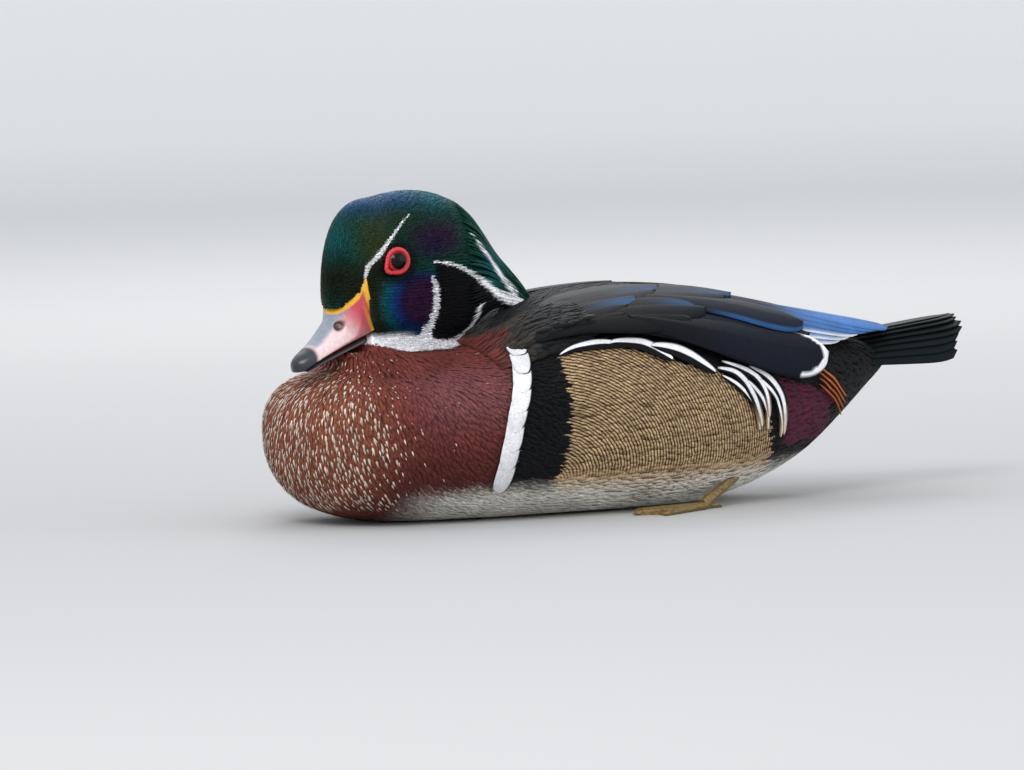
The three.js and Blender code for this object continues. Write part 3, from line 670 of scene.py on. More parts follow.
def tufts(name, roots, normals, directions, length, width, lift, surface, material, tint, shine, unwrap,
          barred=None, steps=3, sides=4, root_share=0.6, raise_tip=0.05, thick=0.1, ridge=0.08, sink=0.1,
          keep_out=False):
    """Many thin vanes that follow a surface from their roots. Sizes are arrays, one value a vane."""
    n = len(roots)
    at, way = roots.copy(), directions.copy()
    rings = []
    for k in range(steps + 1):
        s = k / steps
        if k:
            at = at + way * (length / steps)[:, None]
            found = [surface.find_nearest(Vector(p)) for p in at]
            met = np.array([f[0] for f in found])
            facing = np.array([f[1] for f in found])
            if keep_out:
                facing = facing * np.sign((facing * normals).sum(1, keepdims=True))
                met = np.where((np.array([f[3] for f in found]) > TUFT_LEAVES_AT)[:, None], at, met)
            at, normals = met, facing
        way = unit(way - normals * (way * normals).sum(1, keepdims=True))
        swell = root_share + (1 - root_share) * math.sin(math.pi * min(1, s / 0.75) / 2)
        fade = 1.0 if s < 0.5 else TUFT_TIP + (1 - TUFT_TIP) * (1 - ((s - 0.5) / 0.5) ** 1.7)
        half = (width * 0.5 * swell * fade)[:, None]
        across = np.cross(normals, way)
        high = (lift * (0.15 + 0.85 * min(1, s * 1.6)) + raise_tip * s * s)[:, None]
        middle = at + normals * high
        drop = normals * (sink * half)
        corners = [middle - across * half - drop, middle + normals * ridge, middle + across * half - drop]
        if sides == 4:
            corners.append(middle - normals * (thick * 0.5 + sink * half))
        rings.append(np.stack(corners, 1))
    count = (steps + 1) * sides
    points = np.stack(rings, 1).reshape(n, count, 3)
    along = np.repeat(np.arange(steps + 1) / steps, sides)
    sideways = np.tile(np.array([-1, 0, 1, 0][:sides], float), steps + 1)
    patch = np.stack([UV_PATCH / 2 * sideways, UV_PATCH * along], -1)
    uv = unwrap(roots)[:, None] + patch
    barb = along * 1.5 + np.abs(sideways) * 2.5
    per = CHUNK // len(vane_faces(steps + 1, sides, 1))
    for index, start in enumerate(range(0, n, per)):
        part = slice(start, start + per)
        flat = points[part].reshape(-1, 3)
        m = len(points[part])
        values = {
            "tint": np.repeat(tint[part], count, 0),
            "shine": np.repeat(shine[part], count),
            "barb": np.tile(barb, m),
            "bars": bars_phase(flat),
        }
        if barred is not None:
            values["barred"] = np.repeat(barred[part], count)
        make_object(f"{name}_{index}", flat, vane_faces(steps + 1, sides, m), material, values,
                    uv[part].reshape(-1, 2))


def unwrap_body(points):
    """Place on an unwrap of the body, neck and head about one long axis."""
    x, y, z = np.moveaxis(np.asarray(points), -1, 0)
    axis = np.interp(x, BODY[:, 0], BODY[:, 3])
    return np.stack([0.02 + 0.95 * x / 370, 0.5 + 0.47 * np.arctan2(y, z - axis) / math.pi], -1)


def unwrap_head(points):
    """Place on an unwrap of the head and crest about the head's long axis."""
    h = to_head(points)
    turn = np.arctan2(h[..., 1], h[..., 2] + 8) / math.pi
    return np.stack([0.5 - 0.0085 * (h[..., 0] + 24), 0.5 + 0.47 * turn], -1)


def scatter(points, normals, areas, count, spacing):
    """Roots picked at random from faces, none nearer to another than the spacing."""
    pick = RNG.choice(len(points), size=count, p=areas / areas.sum())
    spots = points[pick] + RNG.normal(0, 0.35, (count, 3))
    keep, taken = [], {}
    around = list(product((-1, 0, 1), repeat=3))
    cells = np.floor(spots / spacing).astype(int)
    for index, (spot, (x, y, z)) in enumerate(zip(spots.tolist(), cells.tolist())):
        others = (other for i, j, k in around for other in taken.get((x + i, y + j, z + k), ()))
        if all(math.dist(spot, other) >= spacing for other in others):
            taken.setdefault((x, y, z), []).append(spot)
            keep.append(index)
    return points[pick[keep]], normals[pick[keep]]


def face_frames(points, faces):
    """Middle, normal and area of each triangle."""
    corners = points[faces]
    cross = np.cross(corners[:, 1] - corners[:, 0], corners[:, 2] - corners[:, 0])
    return corners.mean(1), unit(cross), np.linalg.norm(cross, axis=1) / 2


# Skin: the body, neck and head as one surface, inside the coat
SKIN_VOXEL = 1.5


def skin_arrays():
    """Points and triangles of the body, head and neck, remeshed into one smooth surface."""
    turns = np.linspace(0, 2 * math.pi, 72, endpoint=False)
    t = np.linspace(0.15, len(BODY) - 1.15, 90)[:, None]
    body = body_point(t + 0 * turns, turns, -COAT_DEPTH)
    t = np.linspace(0.12, len(HEAD) - 1.25, 70)[:, None]
    head = from_head(head_point(t + 0 * turns, turns, 0.2 - COAT_DEPTH))
    x, y, z, long, wide = np.moveaxis(station(NECK, np.linspace(0, len(NECK) - 1, 30)), -1, 0)[..., None]
    ahead = (long - COAT_DEPTH) * np.cos(turns)
    neck = np.stack([x + ahead, y + (wide - COAT_DEPTH) * np.sin(turns), z - 0.12 * ahead], -1)
    points, faces = [], []
    for rings in (body, head, neck):
        part_points, part_faces = loft(rings)
        faces.append(part_faces + sum(len(p) for p in points))
        points.append(part_points)
    mesh = bpy.data.meshes.new("skin_source")
    mesh.from_pydata((np.concatenate(points) * MM).tolist(), [], np.concatenate(faces).tolist())
    source = put("skin_source", mesh)
    for kind, settings in (
        ("REMESH", {"mode": "VOXEL", "voxel_size": SKIN_VOXEL * MM}),
        ("SMOOTH", {"iterations": 12, "factor": 0.5}),
        ("TRIANGULATE", {"min_vertices": 4}),
    ):
        modifier = source.modifiers.new(kind.lower(), kind)
        for key, value in settings.items():
            setattr(modifier, key, value)
    made = source.evaluated_get(bpy.context.evaluated_depsgraph_get()).to_mesh()
    co = np.empty(len(made.vertices) * 3)
    made.vertices.foreach_get("co", co)
    tri = np.empty(len(made.polygons) * 3, np.int32)
    made.polygons.foreach_get("vertices", tri)
    bpy.data.objects.remove(source)
    return co.reshape(-1, 3) / MM, tri.reshape(-1, 3)


def bill_side(h, margin=0.0):
    """Whether head-frame points lie on the bill's side of the feather edge."""
    (tx, tz), (cx, cz), (mx, mz) = BILL_EDGE
    back = np.interp(h[..., 2], [mz - 9, mz, cz], [mx + 2, mx, cx]) - margin
    roof = np.interp(h[..., 0], [cx, tx, tx + 30], [cz, tz, tz - 2]) + margin
    under = -38.5 - math.tan(BILL_PITCH) * (h[..., 0] - 10) - margin
    return (h[..., 0] > back) & (h[..., 2] < roof) & (h[..., 2] > under)


def narrow_face(h):
    """Head-frame points with the face drawn in to the width of the bill's root."""
    out = h.copy()
    pull = smooth(-2, 13, h[:, 0]) * smooth(3, -7, h[:, 2]) * smooth(-41, -36, h[:, 2])
    wide = np.abs(h[:, 1])
    out[:, 1] = np.sign(h[:, 1]) * (wide - pull * np.maximum(0, wide - 12.4))
    return out


skin_points, skin_faces = skin_arrays()
skin_points[:, 2] = np.maximum(skin_points[:, 2], 0.3)
in_head = to_head(skin_points)
in_head = np.where(in_hood(skin_points)[:, None], narrow_face(in_head), in_head)
# Skin ahead of the feather edge is drawn back to it, inside the bill
covered = bill_side(in_head)
in_head[covered, 0] = np.interp(in_head[covered, 2], [-41.5, -32.5, -7], [12.3, 10.3, 14.4])
skin_points = from_head(in_head)
SURFACE = BVHTree.FromPolygons(skin_points.tolist(), skin_faces.tolist())
face_centre, face_normal, face_area = face_frames(skin_points, skin_faces)


def paint(points, spread):
    """Colour, shine and barring at points, on the head or on the body."""
    jitter = RNG.normal(0, spread, (len(points), 2))
    colour, shine, barred = paint_body(points, jitter)
    head = in_hood(points + RNG.normal(0, spread * 0.5, points.shape))
    head_colour, head_shine = paint_head(points, jitter)
    colour = np.where(head[:, None], head_colour, colour)
    return colour, np.where(head, head_shine, shine), np.where(head, 0, barred)


tint, shine, barred = paint(skin_points, 0.05)
skin = make_object("skin", skin_points, skin_faces, FEATHERS,
                   {"tint": tint, "shine": shine * 0.5, "barred": barred, "barb": shine * 0,
                    "bars": bars_phase(skin_points)}, unwrap_body(skin_points))
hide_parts("torso", "neck", "head")


def skin_roots(mask, count, spacing):
    return scatter(face_centre[mask], face_normal[mask], face_area[mask], count, spacing)


def lie_of_coat(points):
    """Directions of the coat: away from the bill on the head, down the breast, then back along the body."""
    from_bill = to_head(points) - np.array([27.0, 0.0, -20.0])
    from_bill[:, 1] *= 0.5
    from_bill[:, 2] *= np.where(from_bill[:, 2] > 0, 0.55, 0.5)
    from_bill[:, 0] = -np.abs(from_bill[:, 0]) - 6
    on_head = from_head(from_bill) - HEAD_AT
    from_neck = unit(points - np.array([34.0, 0.0, 118.0]))
    back = np.array([1.0, 0.0, -0.05])
    on_body = mix(back, from_neck, smooth(130, 50, points[:, 0]))
    return unit(np.where(in_hood(points)[:, None], unit(on_head), on_body))


def line_distance(points):
    """Distance from points to the nearest white line of the head."""
    h = to_head(points)
    return np.min([polyline_distance(h[:, 0], h[:, 2], line)[0] for line, *_ in WHITE_LINES], 0)


def body_feathers():
    """Small feathers of the breast and body, and the cream streaks of the breast."""
    head = in_hood(face_centre)
    x, z = face_centre[:, 0], face_centre[:, 2]
    front = (~head) & (x < 118) & ~bill_side(to_head(face_centre), 1.0)
    for name, mask, spacing, count, long, wide in (
        ("coat_breast", front, 1.6, 140000, 8.5, 2.7),
        ("coat_body", (~head) & (x >= 118), 2.2, 120000, 11.0, 4.0),
    ):
        roots, normals = skin_roots(mask, count, spacing)
        low = roots[:, 2] > 1.5
        roots, normals = roots[low], normals[low]
        n = len(roots)
        ways = unit(lie_of_coat(roots) + RNG.normal(0, 0.05, (n, 3)))
        colour, shine, barred = paint(roots + ways * long * 0.35, 0.35)
        shade = RNG.uniform(0.92, 1.08, n)[:, None]
        tufts(name, roots, normals, ways, long * RNG.uniform(0.8, 1.2, n), wide * RNG.uniform(0.85, 1.1, n),
              RNG.uniform(0.5, 0.6, n), SURFACE, FEATHERS, colour * shade, shine, unwrap_body,
              barred, ridge=0.03, sink=0.02)
    # Streaks are dense at the front and fewer behind
    mask = front & (x < 92) & (z > 9) & (z < 92)
    roots, normals = skin_roots(mask, 9000, 1.9)
    x, z = roots[:, 0], roots[:, 2]
    chance = 0.9 * smooth(46, 18, x) * smooth(96, 78, z) + 0.1 * smooth(66, 40, x) + 0.008
    keep = (RNG.random(len(roots)) < chance) & ~in_hood(roots)
    roots, normals = roots[keep], normals[keep]
    n = len(roots)
    size = RNG.uniform(0.45, 1.25, n) * (0.5 + 0.6 * smooth(56, 14, roots[:, 0]))
    cream = CREAM * RNG.uniform(0.55, 1.0, n)[:, None]
    tufts("coat_flecks", roots, normals, lie_of_coat(roots), 4.4 * size, 1.25 * size, np.full(n, 1.0),
          SURFACE, FEATHERS, cream, np.zeros(n), unwrap_body, np.zeros(n), steps=2, sides=3,
          root_share=0.25)


def head_tufts():
    """Silky tufts of the head, shorter on the face and beside the white lines, whose edges stay crisp."""
    h = to_head(face_centre)
    eye_socket = np.hypot(h[:, 0] - EYE_AT[0], h[:, 2]) < EYE_RADIUS
    free = in_hood(face_centre) & ~bill_side(h, 0.5) & ~eye_socket
    for name, mask, spacing, count, long, wide, lift in (
        ("coat_face", free & (h[:, 0] > -14), 0.68, 120000, 2.7, 0.8, 0.28),
        ("coat_head", free & (h[:, 0] <= -14), 0.8, 140000, 4.6, 0.9, 0.45),
    ):
        roots, normals = skin_roots(mask, count, spacing)
        n = len(roots)
        ways = unit(lie_of_coat(roots) + RNG.normal(0, 0.07, (n, 3)))
        size = 0.5 + 0.5 * smooth(3.0, 5.5, line_distance(roots))
        colour, shine, _ = paint(roots + ways * long * 0.4 * size[:, None], 0.1)
        shade = RNG.uniform(0.75, 1.25, n)[:, None]
        tufts(name, roots, normals, ways, long * size * RNG.uniform(0.8, 1.2, n),
              wide * RNG.uniform(0.8, 1.2, n), lift * RNG.uniform(0.7, 1.3, n), SURFACE, SILK,
              colour * shade, shine, unwrap_head, steps=2, sides=3, raise_tip=0.08)


CREST_LOCKS = 1300
LOCK_STEPS = 8


def crest_locks():
    """Long fine locks that sweep from the back of the head past the crest's tip."""
    angle = RNG.uniform(-2.6, 2.6, CREST_LOCKS)
    start = RNG.uniform(8.3, 10.9, CREST_LOCKS)
    reach = RNG.uniform(0.0, 1.0, CREST_LOCKS)
    end = np.minimum(11.75, start + RNG.uniform(1.6, 3.4, CREST_LOCKS))
    u = np.linspace(0, 1, LOCK_STEPS + 1)

    def along(share, grow):
        t = start[:, None] + (end - start)[:, None] * share
        beyond = (smooth(10.2, 11.75, t) ** 1.5 * (3 + 9 * reach[:, None]))[..., None]
        return head_point(t, angle[:, None], grow) + beyond * np.array([-0.95, 0.12, -0.32])

    middle = along(u, 0.55 * smooth(0, 0.5, u) - 0.35)
    way = unit(along(u + 0.02, 0.45) - along(u - 0.02, 0.45))
    up = unit(along(u, 1.6) - along(u, 0.2))
    half = RNG.uniform(0.55, 0.95, CREST_LOCKS)[:, None] * vane_shape(u, 0.3, 0.35, 1.6) + 0.06
    across = np.cross(up, way) * half[..., None]
    ring = np.stack([middle - across - up * 0.1, middle + up * 0.06, middle + across - up * 0.1], 2)
    rows = LOCK_STEPS + 1
    sampled = from_head(along(u, 0.0)).reshape(-1, 3)
    jitter = np.repeat(RNG.normal(0, 0.25, (CREST_LOCKS, 2)), rows, 0)
    colour, shine = paint_head(sampled, jitter)
    colour = colour * np.repeat(RNG.uniform(0.8, 1.2, CREST_LOCKS), rows)[:, None]
    root_uv = unwrap_head(from_head(along(np.zeros(1), 0.0)))
    patch = np.stack([np.tile([-UV_PATCH / 2, 0, UV_PATCH / 2], rows), np.repeat(u * UV_PATCH, 3)], 1)
    values = {
        "tint": np.repeat(colour, 3, 0),
        "shine": np.repeat(shine, 3),
        "barb": np.tile(np.repeat(u * 12, 3), CREST_LOCKS),
    }
    points = from_head(ring).reshape(-1, 3)
    faces = vane_faces(rows, 3, CREST_LOCKS)
    make_object("crest_locks", points, faces, SILK, values, (root_uv + patch).reshape(-1, 2))


# Large feathers of wings, flanks and tail, each laid over the body's own surface
FEATHER_UV = np.array([0.22, 0.024])  # size of one feather's face on the unwrap


def vane_shape(u, root_share, tip_start, tip_power=2.2):
    """Width of a feather along its length, as a share of its greatest."""
    rise = root_share + (1 - root_share) * np.sin(np.clip(u / tip_start, 0, 1) * math.pi / 2)
    fall = np.sqrt(np.clip(1 - np.clip((u - tip_start) / (1 - tip_start), 0, 1) ** tip_power, 0, 1))
    return rise * fall


def tile_uv(number, columns=4, rows=16):
    """Corner of the unwrap's tile for a feather."""
    return np.array([0.01 + (number % columns) / columns, 0.01 + (number // columns % rows) / rows])


class Plume:
    """Collects large feathers into one mesh."""

    def __init__(self):
        self.points, self.faces, self.uv = [], [], []
        self.values = {"tint": [], "shine": [], "barb": []}

    def add(self, place, colour, long, along=22, across=8, mirrored=False):
        """place(u, v, face) gives points, colour(u, v) tint and shine. u: root to tip, v: side to side."""
        u, v = np.meshgrid(np.linspace(0, 1, along + 1), np.linspace(-1, 1, across + 1), indexing="ij")
        _, faces = sheet_faces(*u.shape)
        local = tile_uv(len(self.faces)) + FEATHER_UV * np.stack([u, (v + 1) / 2], -1).reshape(-1, 2)
        self.faces.append((faces[:, ::-1] if mirrored else faces) + sum(len(p) for p in self.points))
        self.points += [place(u, v, face).reshape(-1, 3) for face in (1.0, 0.0)]
        self.uv += [local, local + FEATHER_UV * [0, 1.15]]
        tint, shine = colour(u, v)
        self.values["tint"] += [tint.reshape(-1, 3)] * 2
        self.values["shine"] += [shine.ravel()] * 2
        self.values["barb"] += [(u * long / 1.1 - np.abs(v) * 4).ravel()] * 2

    def finish(self, name, material, replaces=()):
        values = {key: np.concatenate(parts) for key, parts in self.values.items()}
        points, faces, uv = (np.concatenate(parts) for parts in (self.points, self.faces, self.uv))
        piece = make_object(name, points, faces, material, values, uv, flip=True)
        if replaces:
            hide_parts(*replaces)


def body_vane(plume, side, start, end, width, lift, rise, colour, tip_start, tip_power=2.2, bow=0.0,
              crown=0.9, dip=0.0, along=22, across=8):
    """A large feather over the body from (x, angle) to (x, angle) on one side."""
    def place(u, v, face):
        x = start[0] + (end[0] - start[0]) * u
        angle = start[1] + (end[1] - start[1]) * u + bow * np.sin(math.pi * u)
        radius = np.maximum(14, station(BODY, np.interp(x, X_SAMPLES, T_SAMPLES))[..., 1])
        half = width / 2 * vane_shape(u, 0.55, tip_start, tip_power)
        turned = angle + np.degrees(v * half / radius)
        height = lift + rise * u - crown * v * v - (1 - face) * 0.35
        shaft = 0.25 * (1 - np.abs(v)) ** 6 * face * (1 - 0.6 * u)
        return over_body(x, -side * turned, height + shaft - dip * (1 - smooth(0, 0.3, u)))

    long = math.hypot(end[0] - start[0], math.radians(end[1] - start[1]) * 60)
    plume.add(place, colour, long, along, across, mirrored=side > 0)


def side_angle(x, z):
    """Angle from the back, negative, at which the body's side reaches a height."""
    row = station(BODY, np.interp(x, X_SAMPLES, T_SAMPLES))
    top, wide, bottom = row[..., 2], row[..., 3], row[..., 4]
    share = np.clip(np.where(z > wide, (z - wide) / (top - wide), (wide - z) / (wide - bottom)), 0, 1)
    turn = np.degrees(np.arccos(share ** (BODY_POWER / 2)))
    return -np.where(z > wide, turn, 180 - turn)


def path_vane(plume, side, path, width, lift, colour, crown=0.25, root_share=0.2, tip_start=0.45,
              tip_power=1.8, along=30, across=12, thick=0.3, rise=0.0):
    """A feather along a line of (x, z) places on the body's side, its outer or upper rim at v = 1."""
    path = np.array(path, float)
    rows = np.stack([path[:, 0], side_angle(path[:, 0], path[:, 1])], 1)

    def on_path(u, height):
        at = station(rows, u * (len(rows) - 1))
        return over_body(at[..., 0], -side * at[..., 1], height)

    def place(u, v, face):
        centre = on_path(u, lift + rise * u)
        up = unit(on_path(u, lift + 1.0 + rise * u) - centre)
        way = unit(on_path(np.minimum(1, u + 0.02), lift) - on_path(np.maximum(0, u - 0.02), lift))
        across_way = unit(np.cross(up, way)) * -side
        half = width / 2 * vane_shape(u, root_share, tip_start, tip_power)
        height = -crown * v * v - (1 - face) * thick
        return centre + across_way * (v * half)[..., None] + up * height[..., None]

    long = np.linalg.norm(np.diff(path, axis=0), axis=1).sum()
    plume.add(place, colour, long, along, across, mirrored=side > 0)


def spread(start, end, count):
    """Values between two rows of numbers, in even steps."""
    return [tuple(a + (b - a) * i / (count - 1) for a, b in zip(start, end)) for i in range(count)]


def plain(tint, shine=0.0):
    """Colours of a feather that is the same all over."""
    return lambda u, v: (np.broadcast_to(tint, u.shape + (3,)), np.full(u.shape, shine))


def dark_feather(base, gloss, amount, gloss_from=0.1, gloss_side=0, edge=None, edge_from=0.7, tip=None,
                 shine=0.15):
    """Colours of a dark feather with a gloss towards its tip, partly its own iridescent colour and partly
    painted sheen, and a coloured edge or tip where it has one.
    """
    def colour(u, v):
        toward = smooth(gloss_from, gloss_from + 0.45, u)
        if gloss_side:
            toward = toward * smooth(-0.5, 0.6, v * gloss_side)
        shaft = 1 - 0.35 * np.exp(-(v / 0.05) ** 2)
        out = mix(base, gloss, amount * toward) * shaft[..., None]
        pale = np.zeros(u.shape)
        if edge is not None:
            pale = smooth(edge_from, edge_from + 0.12, -v) * smooth(0.35, 0.6, u)
            out = mix(out, edge, pale)
        if tip is not None:
            beyond = np.clip((u - TIP_CRESCENT_FROM) / (1 - TIP_CRESCENT_FROM), 0, 1)
            reach = np.sqrt(beyond ** 2 + v * v * (1 - beyond ** 2.2)) * smooth(0.1, 0.3, beyond)
            pale = smooth(0.84, 0.855, reach) * smooth(0.998, 0.985, reach)
            out = mix(out, tip, pale)
        return out, shine * (1 - pale)
    return colour


# Solid part of the folded wing: x, angles of its upper and lower edge, swell
WING_CORE = np.array([
    [101, -26, -32, 0.6],
    [108, -22, -39, 1.8],
    [132, -15, -42, 3.0],
    [175, -8, -48, 3.6],
    [220, -9, -60, 3.4],
    [255, -12, -60, 2.8],
    [280, -15, -50, 2],
    [298, -20, -34, 1],
], float)
# First and last feather of each row: x and angle of its root, of its tip, height at the root, rise to the tip
PRIMARIES = ((214, -48, 286, -47, 3.2, 1.4), (226, -18, 319, -29, 4.8, 4.6))
TERTIALS = ((158, -43, 258, -59, 4.2, 0.2, -2), (170, -14, 284, -18, 5.4, 0.6, 2))  # and the bow
SCAPULARS = (
    ((120, -35, 190, -43, 5.0, 0.6), (146, -16, 236, -13, 6.4, 0.8), 28),  # and the width
    ((102, -33, 160, -37, 4.6, 1.0), (122, -18, 192, -13, 6.3, 1.2), 25),
)
SCAPULAR_GLOSS = (0.0, 0.25, 0.9, 0.8, 0.5)  # from the lowest feather up to the back
TIP_CRESCENT_FROM = 0.74  # where the white crescent of the last tertial starts along it


def side_name(side):
    return "left" if side < 0 else "right"


def stray(most):
    """A small random shift either way."""
    return RNG.uniform(-most, most)


def wing(side):
    """The folded wing: a core, the rows of large feathers over it, and scapulars on top."""
    name = side_name(side)
    plume = Plume()

    def core_place(u, v, face):
        x, upper, lower, swell = np.moveaxis(station(WING_CORE, u * (len(WING_CORE) - 1)), -1, 0)
        angle = upper + (lower - upper) * (1 - v) / 2
        arch = np.sqrt(np.clip(np.sin(math.pi * (0.1 + 0.4 * (1 + v))), 0, 1))
        return over_body(x, -side * angle, 0.2 + face * (0.5 + swell * arch))

    plume.add(core_place, plain(BLACK * 1.2, 0.2), 200, along=60, across=24, mirrored=side > 0)
    # Primaries, blue above with white hind edges
    for i, (sx, sa, ex, ea, lift, rise) in enumerate(spread(*PRIMARIES, 6)):
        edge = WHITE if i < 3 else None
        colour = dark_feather(BLACK * 1.4, WING_BLUE * (0.7 + 0.06 * i), 0.95, 0.15, 0, edge, 0.72, shine=0.2)
        body_vane(plume, side, (sx, sa), (ex, ea), 15.5, lift, rise, colour, 0.78, crown=0.5)
    # Tertials, navy, under one broad last one that ends in a white crescent
    for sx, sa, ex, ea, lift, rise, bow in spread(*TERTIALS, 5):
        body_vane(plume, side, (sx, sa + stray(1)), (ex + stray(2), ea), 25, lift, rise,
                  dark_feather(BLACK, NAVY * 1.6, 0.9), 0.72, 2.6, bow)
    broad = dark_feather(BLACK, NAVY, 0.9, tip=WHITE)
    body_vane(plume, side, (160, -39), (270.5, -66.5), 33, 5.4, 0.5, broad, 0.74, 2.3, -3, 1.6,
              along=60, across=16)
    # Its blue edge is partly the feather's own iridescent colour and partly painted sheen
    edged = dark_feather(BLACK, NAVY * 1.8, 0.8, edge=SCAPULAR_BLUE)
    body_vane(plume, side, (168, -22), (262, -40), 27, 6.2, 0.5, edged, 0.7, 2.2, 1, 1.1, along=36, across=12)
    # Scapulars in two tiers, black below and glossed blue nearer the back; the blue is partly their own
    # iridescent colour and partly painted sheen
    for first, last, width in SCAPULARS:
        for i, (sx, sa, ex, ea, lift, rise) in enumerate(spread(first, last, len(SCAPULAR_GLOSS))):
            colour = dark_feather(BLACK, SCAPULAR_BLUE, SCAPULAR_GLOSS[i], 0.45, 1 if i % 2 else -1)
            body_vane(plume, side, (sx, sa + stray(1.5)), (ex + stray(4), ea), width, lift, rise, colour,
                      0.56, 1.9, along=28, across=10, dip=2.4)
    plume.finish(f"wing_{name}_feathers", VANES, (f"wing_{name}",))


# The mantle: small feathers that cover the roots of the wings and scapulars
MANTLE_FROM = 91


def cape_lift(x, degrees):
    """Height of the mantle over the body: low under the crest behind the neck, higher on the wings."""
    off = np.abs(degrees)
    ramp = smooth(91, 115, x) * smooth(8, 22, off) + smooth(98, 156, x) * (1 - smooth(8, 22, off))
    return 0.1 + 6.0 * ramp * (1 - smooth(36, 47, off))


def mantle_colour(points):
    """Tint and shine: grey-brown by the neck, then black with a faint gloss."""
    x, y, z = points.T
    return mix(breast_colour(x, y, z), MANTLE, mantle_share(x, y)), 0.3 * smooth(110, 140, x)


def mantle():
    """A thin skin over the roots of the wings, with a coat of small feathers."""
    x, a = np.meshgrid(np.linspace(MANTLE_FROM, 176, 60), np.linspace(-47, 47, 100), indexing="ij")
    x = MANTLE_FROM + (x - MANTLE_FROM) * (0.5 + 0.5 * smooth(22, 8, np.abs(a)))
    upper = over_body(x, a, cape_lift(x, a) - 0.5).reshape(-1, 3)
    under = over_body(x, a, np.maximum(-1.2, cape_lift(x, a) - 1.1)).reshape(-1, 3)
    grid, faces = sheet_faces(*x.shape)
    points = np.concatenate([upper, under])
    colour, shine = mantle_colour(points)
    # The skin under the coat gets 0.6 of the coat's colours: painted shade between the small feathers
    values = {"tint": colour * 0.6, "shine": shine, "barred": shine * 0, "barb": shine * 0, "bars": shine * 0}
    make_object("mantle_skin", points, faces, FEATHERS, values, unwrap_body(points))
    tree = BVHTree.FromPolygons(upper.tolist(), grid.tolist())
    centre, normal, area = face_frames(upper, grid)
    outward = normal * np.sign((normal * (centre - np.array([130.0, 0, 50]))).sum(1, keepdims=True))
    roots, normals = scatter(centre, outward, area, 40000, 2.1)
    n = len(roots)
    ways = unit(np.array([1.0, 0, -0.05]) + RNG.normal(0, 0.06, (n, 3)))
    colour, shine = mantle_colour(roots + RNG.normal(0, 2.0, (n, 3)))
    shade = RNG.uniform(0.75, 1.25, n)[:, None]
    grown = smooth(91, 122, roots[:, 0])
    tufts("coat_mantle", roots, normals, ways, (6.5 + 4 * grown) * RNG.uniform(0.85, 1.15, n),
          (3.2 + 2.4 * grown) * RNG.uniform(0.9, 1.1, n), RNG.uniform(0.25, 0.5, n), tree,
          FEATHERS, colour * shade, shine, unwrap_body, np.zeros(n), raise_tip=0.15, ridge=0.06, sink=0.06,
          thick=0.16, keep_out=True)


for wing_side in (-1, 1):
    wing(wing_side)
mantle()

# White crescents with black above and below, along the top of each flank and round its hind end:
# places of the middle line, width, height over the body
CRESCENTS = (
    (((119, 77.6), (126.5, 80.2), (135.9, 81.6), (142.2, 81.9), (148.0, 81.4), (153.0, 80.2)), 7.0, 0.5),
    (((146, 81.6), (150.2, 82.0), (160.7, 80.9), (166.4, 78.6), (170.5, 76.0), (175.4, 72.6)), 8.6, 0.8),
    (((166, 79.2), (169.7, 78.9), (177.9, 77.0), (184.1, 74.3), (190.2, 70.6), (198.2, 65.2)), 8.6, 1.1),
)
ARCS = (
    (((201.9, 64.2), (207, 61.6), (212.1, 58.3), (218.7, 51.9), (222.7, 44.9), (225, 36)), 4.0, 0.4),
    (((199.8, 67.7), (209.2, 65.6), (215.3, 61.2), (220.0, 54.1), (223.8, 45.5), (226.1, 38)), 6.4, 0.7),
    (((217, 60.6), (219.4, 58.6), (224.3, 53.8), (228.2, 47.5), (229.6, 42.9), (230, 36)), 4.4, 0.8),
    (((203.0, 70.4), (214.4, 66.7), (222.7, 62.5), (227.5, 56.5), (229.7, 49.6), (230.3, 42)), 6.0, 1.0),
    (((225, 60.5), (227.5, 58.8), (233.9, 53.1), (236.9, 47.6), (239.4, 39.1), (239.6, 32)), 4.4, 1.1),
    (((219, 67), (228.2, 62.8), (234.0, 58.4), (239.0, 51.2), (240.8, 43.5), (241.5, 33)), 6.4, 1.3),
)
# Middle line of the white bar between breast and flank, from its top
BAR_MIDDLE = np.array([
    [104.4, 83.8], [104.0, 81.0], [102.2, 77], [98.4, 69.5], [94.4, 61.5], [90.6, 52.5], [88.2, 43.5],
    [86.8, 34.5], [85.8, 25], [85.2, 15],
])


def crescent(low, high, fade=0.0):
    """Colours of a feather that is white between two shares of its width and black outside them."""
    def colour(u, v):
        white = smooth(low - 0.05, low + 0.03, v) * smooth(high + 0.05, high - 0.03, v)
        white = white * smooth(0.0, 0.06, u) * smooth(1.0, 0.97, u)
        out = mix(BLACK * 1.2, WHITE, white)
        if fade:
            out = mix(out, BUFF * 0.8, smooth(1 - fade, 1, u) * (1 - white * 0.6))
        return out, np.zeros(u.shape)
    return colour


def bar_colour(u, v):
    """White with painted shade towards each feather's edges, growing towards its tip, and a black rim behind.
    """
    # Painted shade: the white darkens towards the feather's edges, more so near its tip
    edge_shade = 0.93 - 0.12 * smooth(0.2, 1, u) * np.abs(v)
    return mix(WHITE * edge_shade[..., None], BLACK, smooth(0.74, 0.84, v)), np.zeros(u.shape)


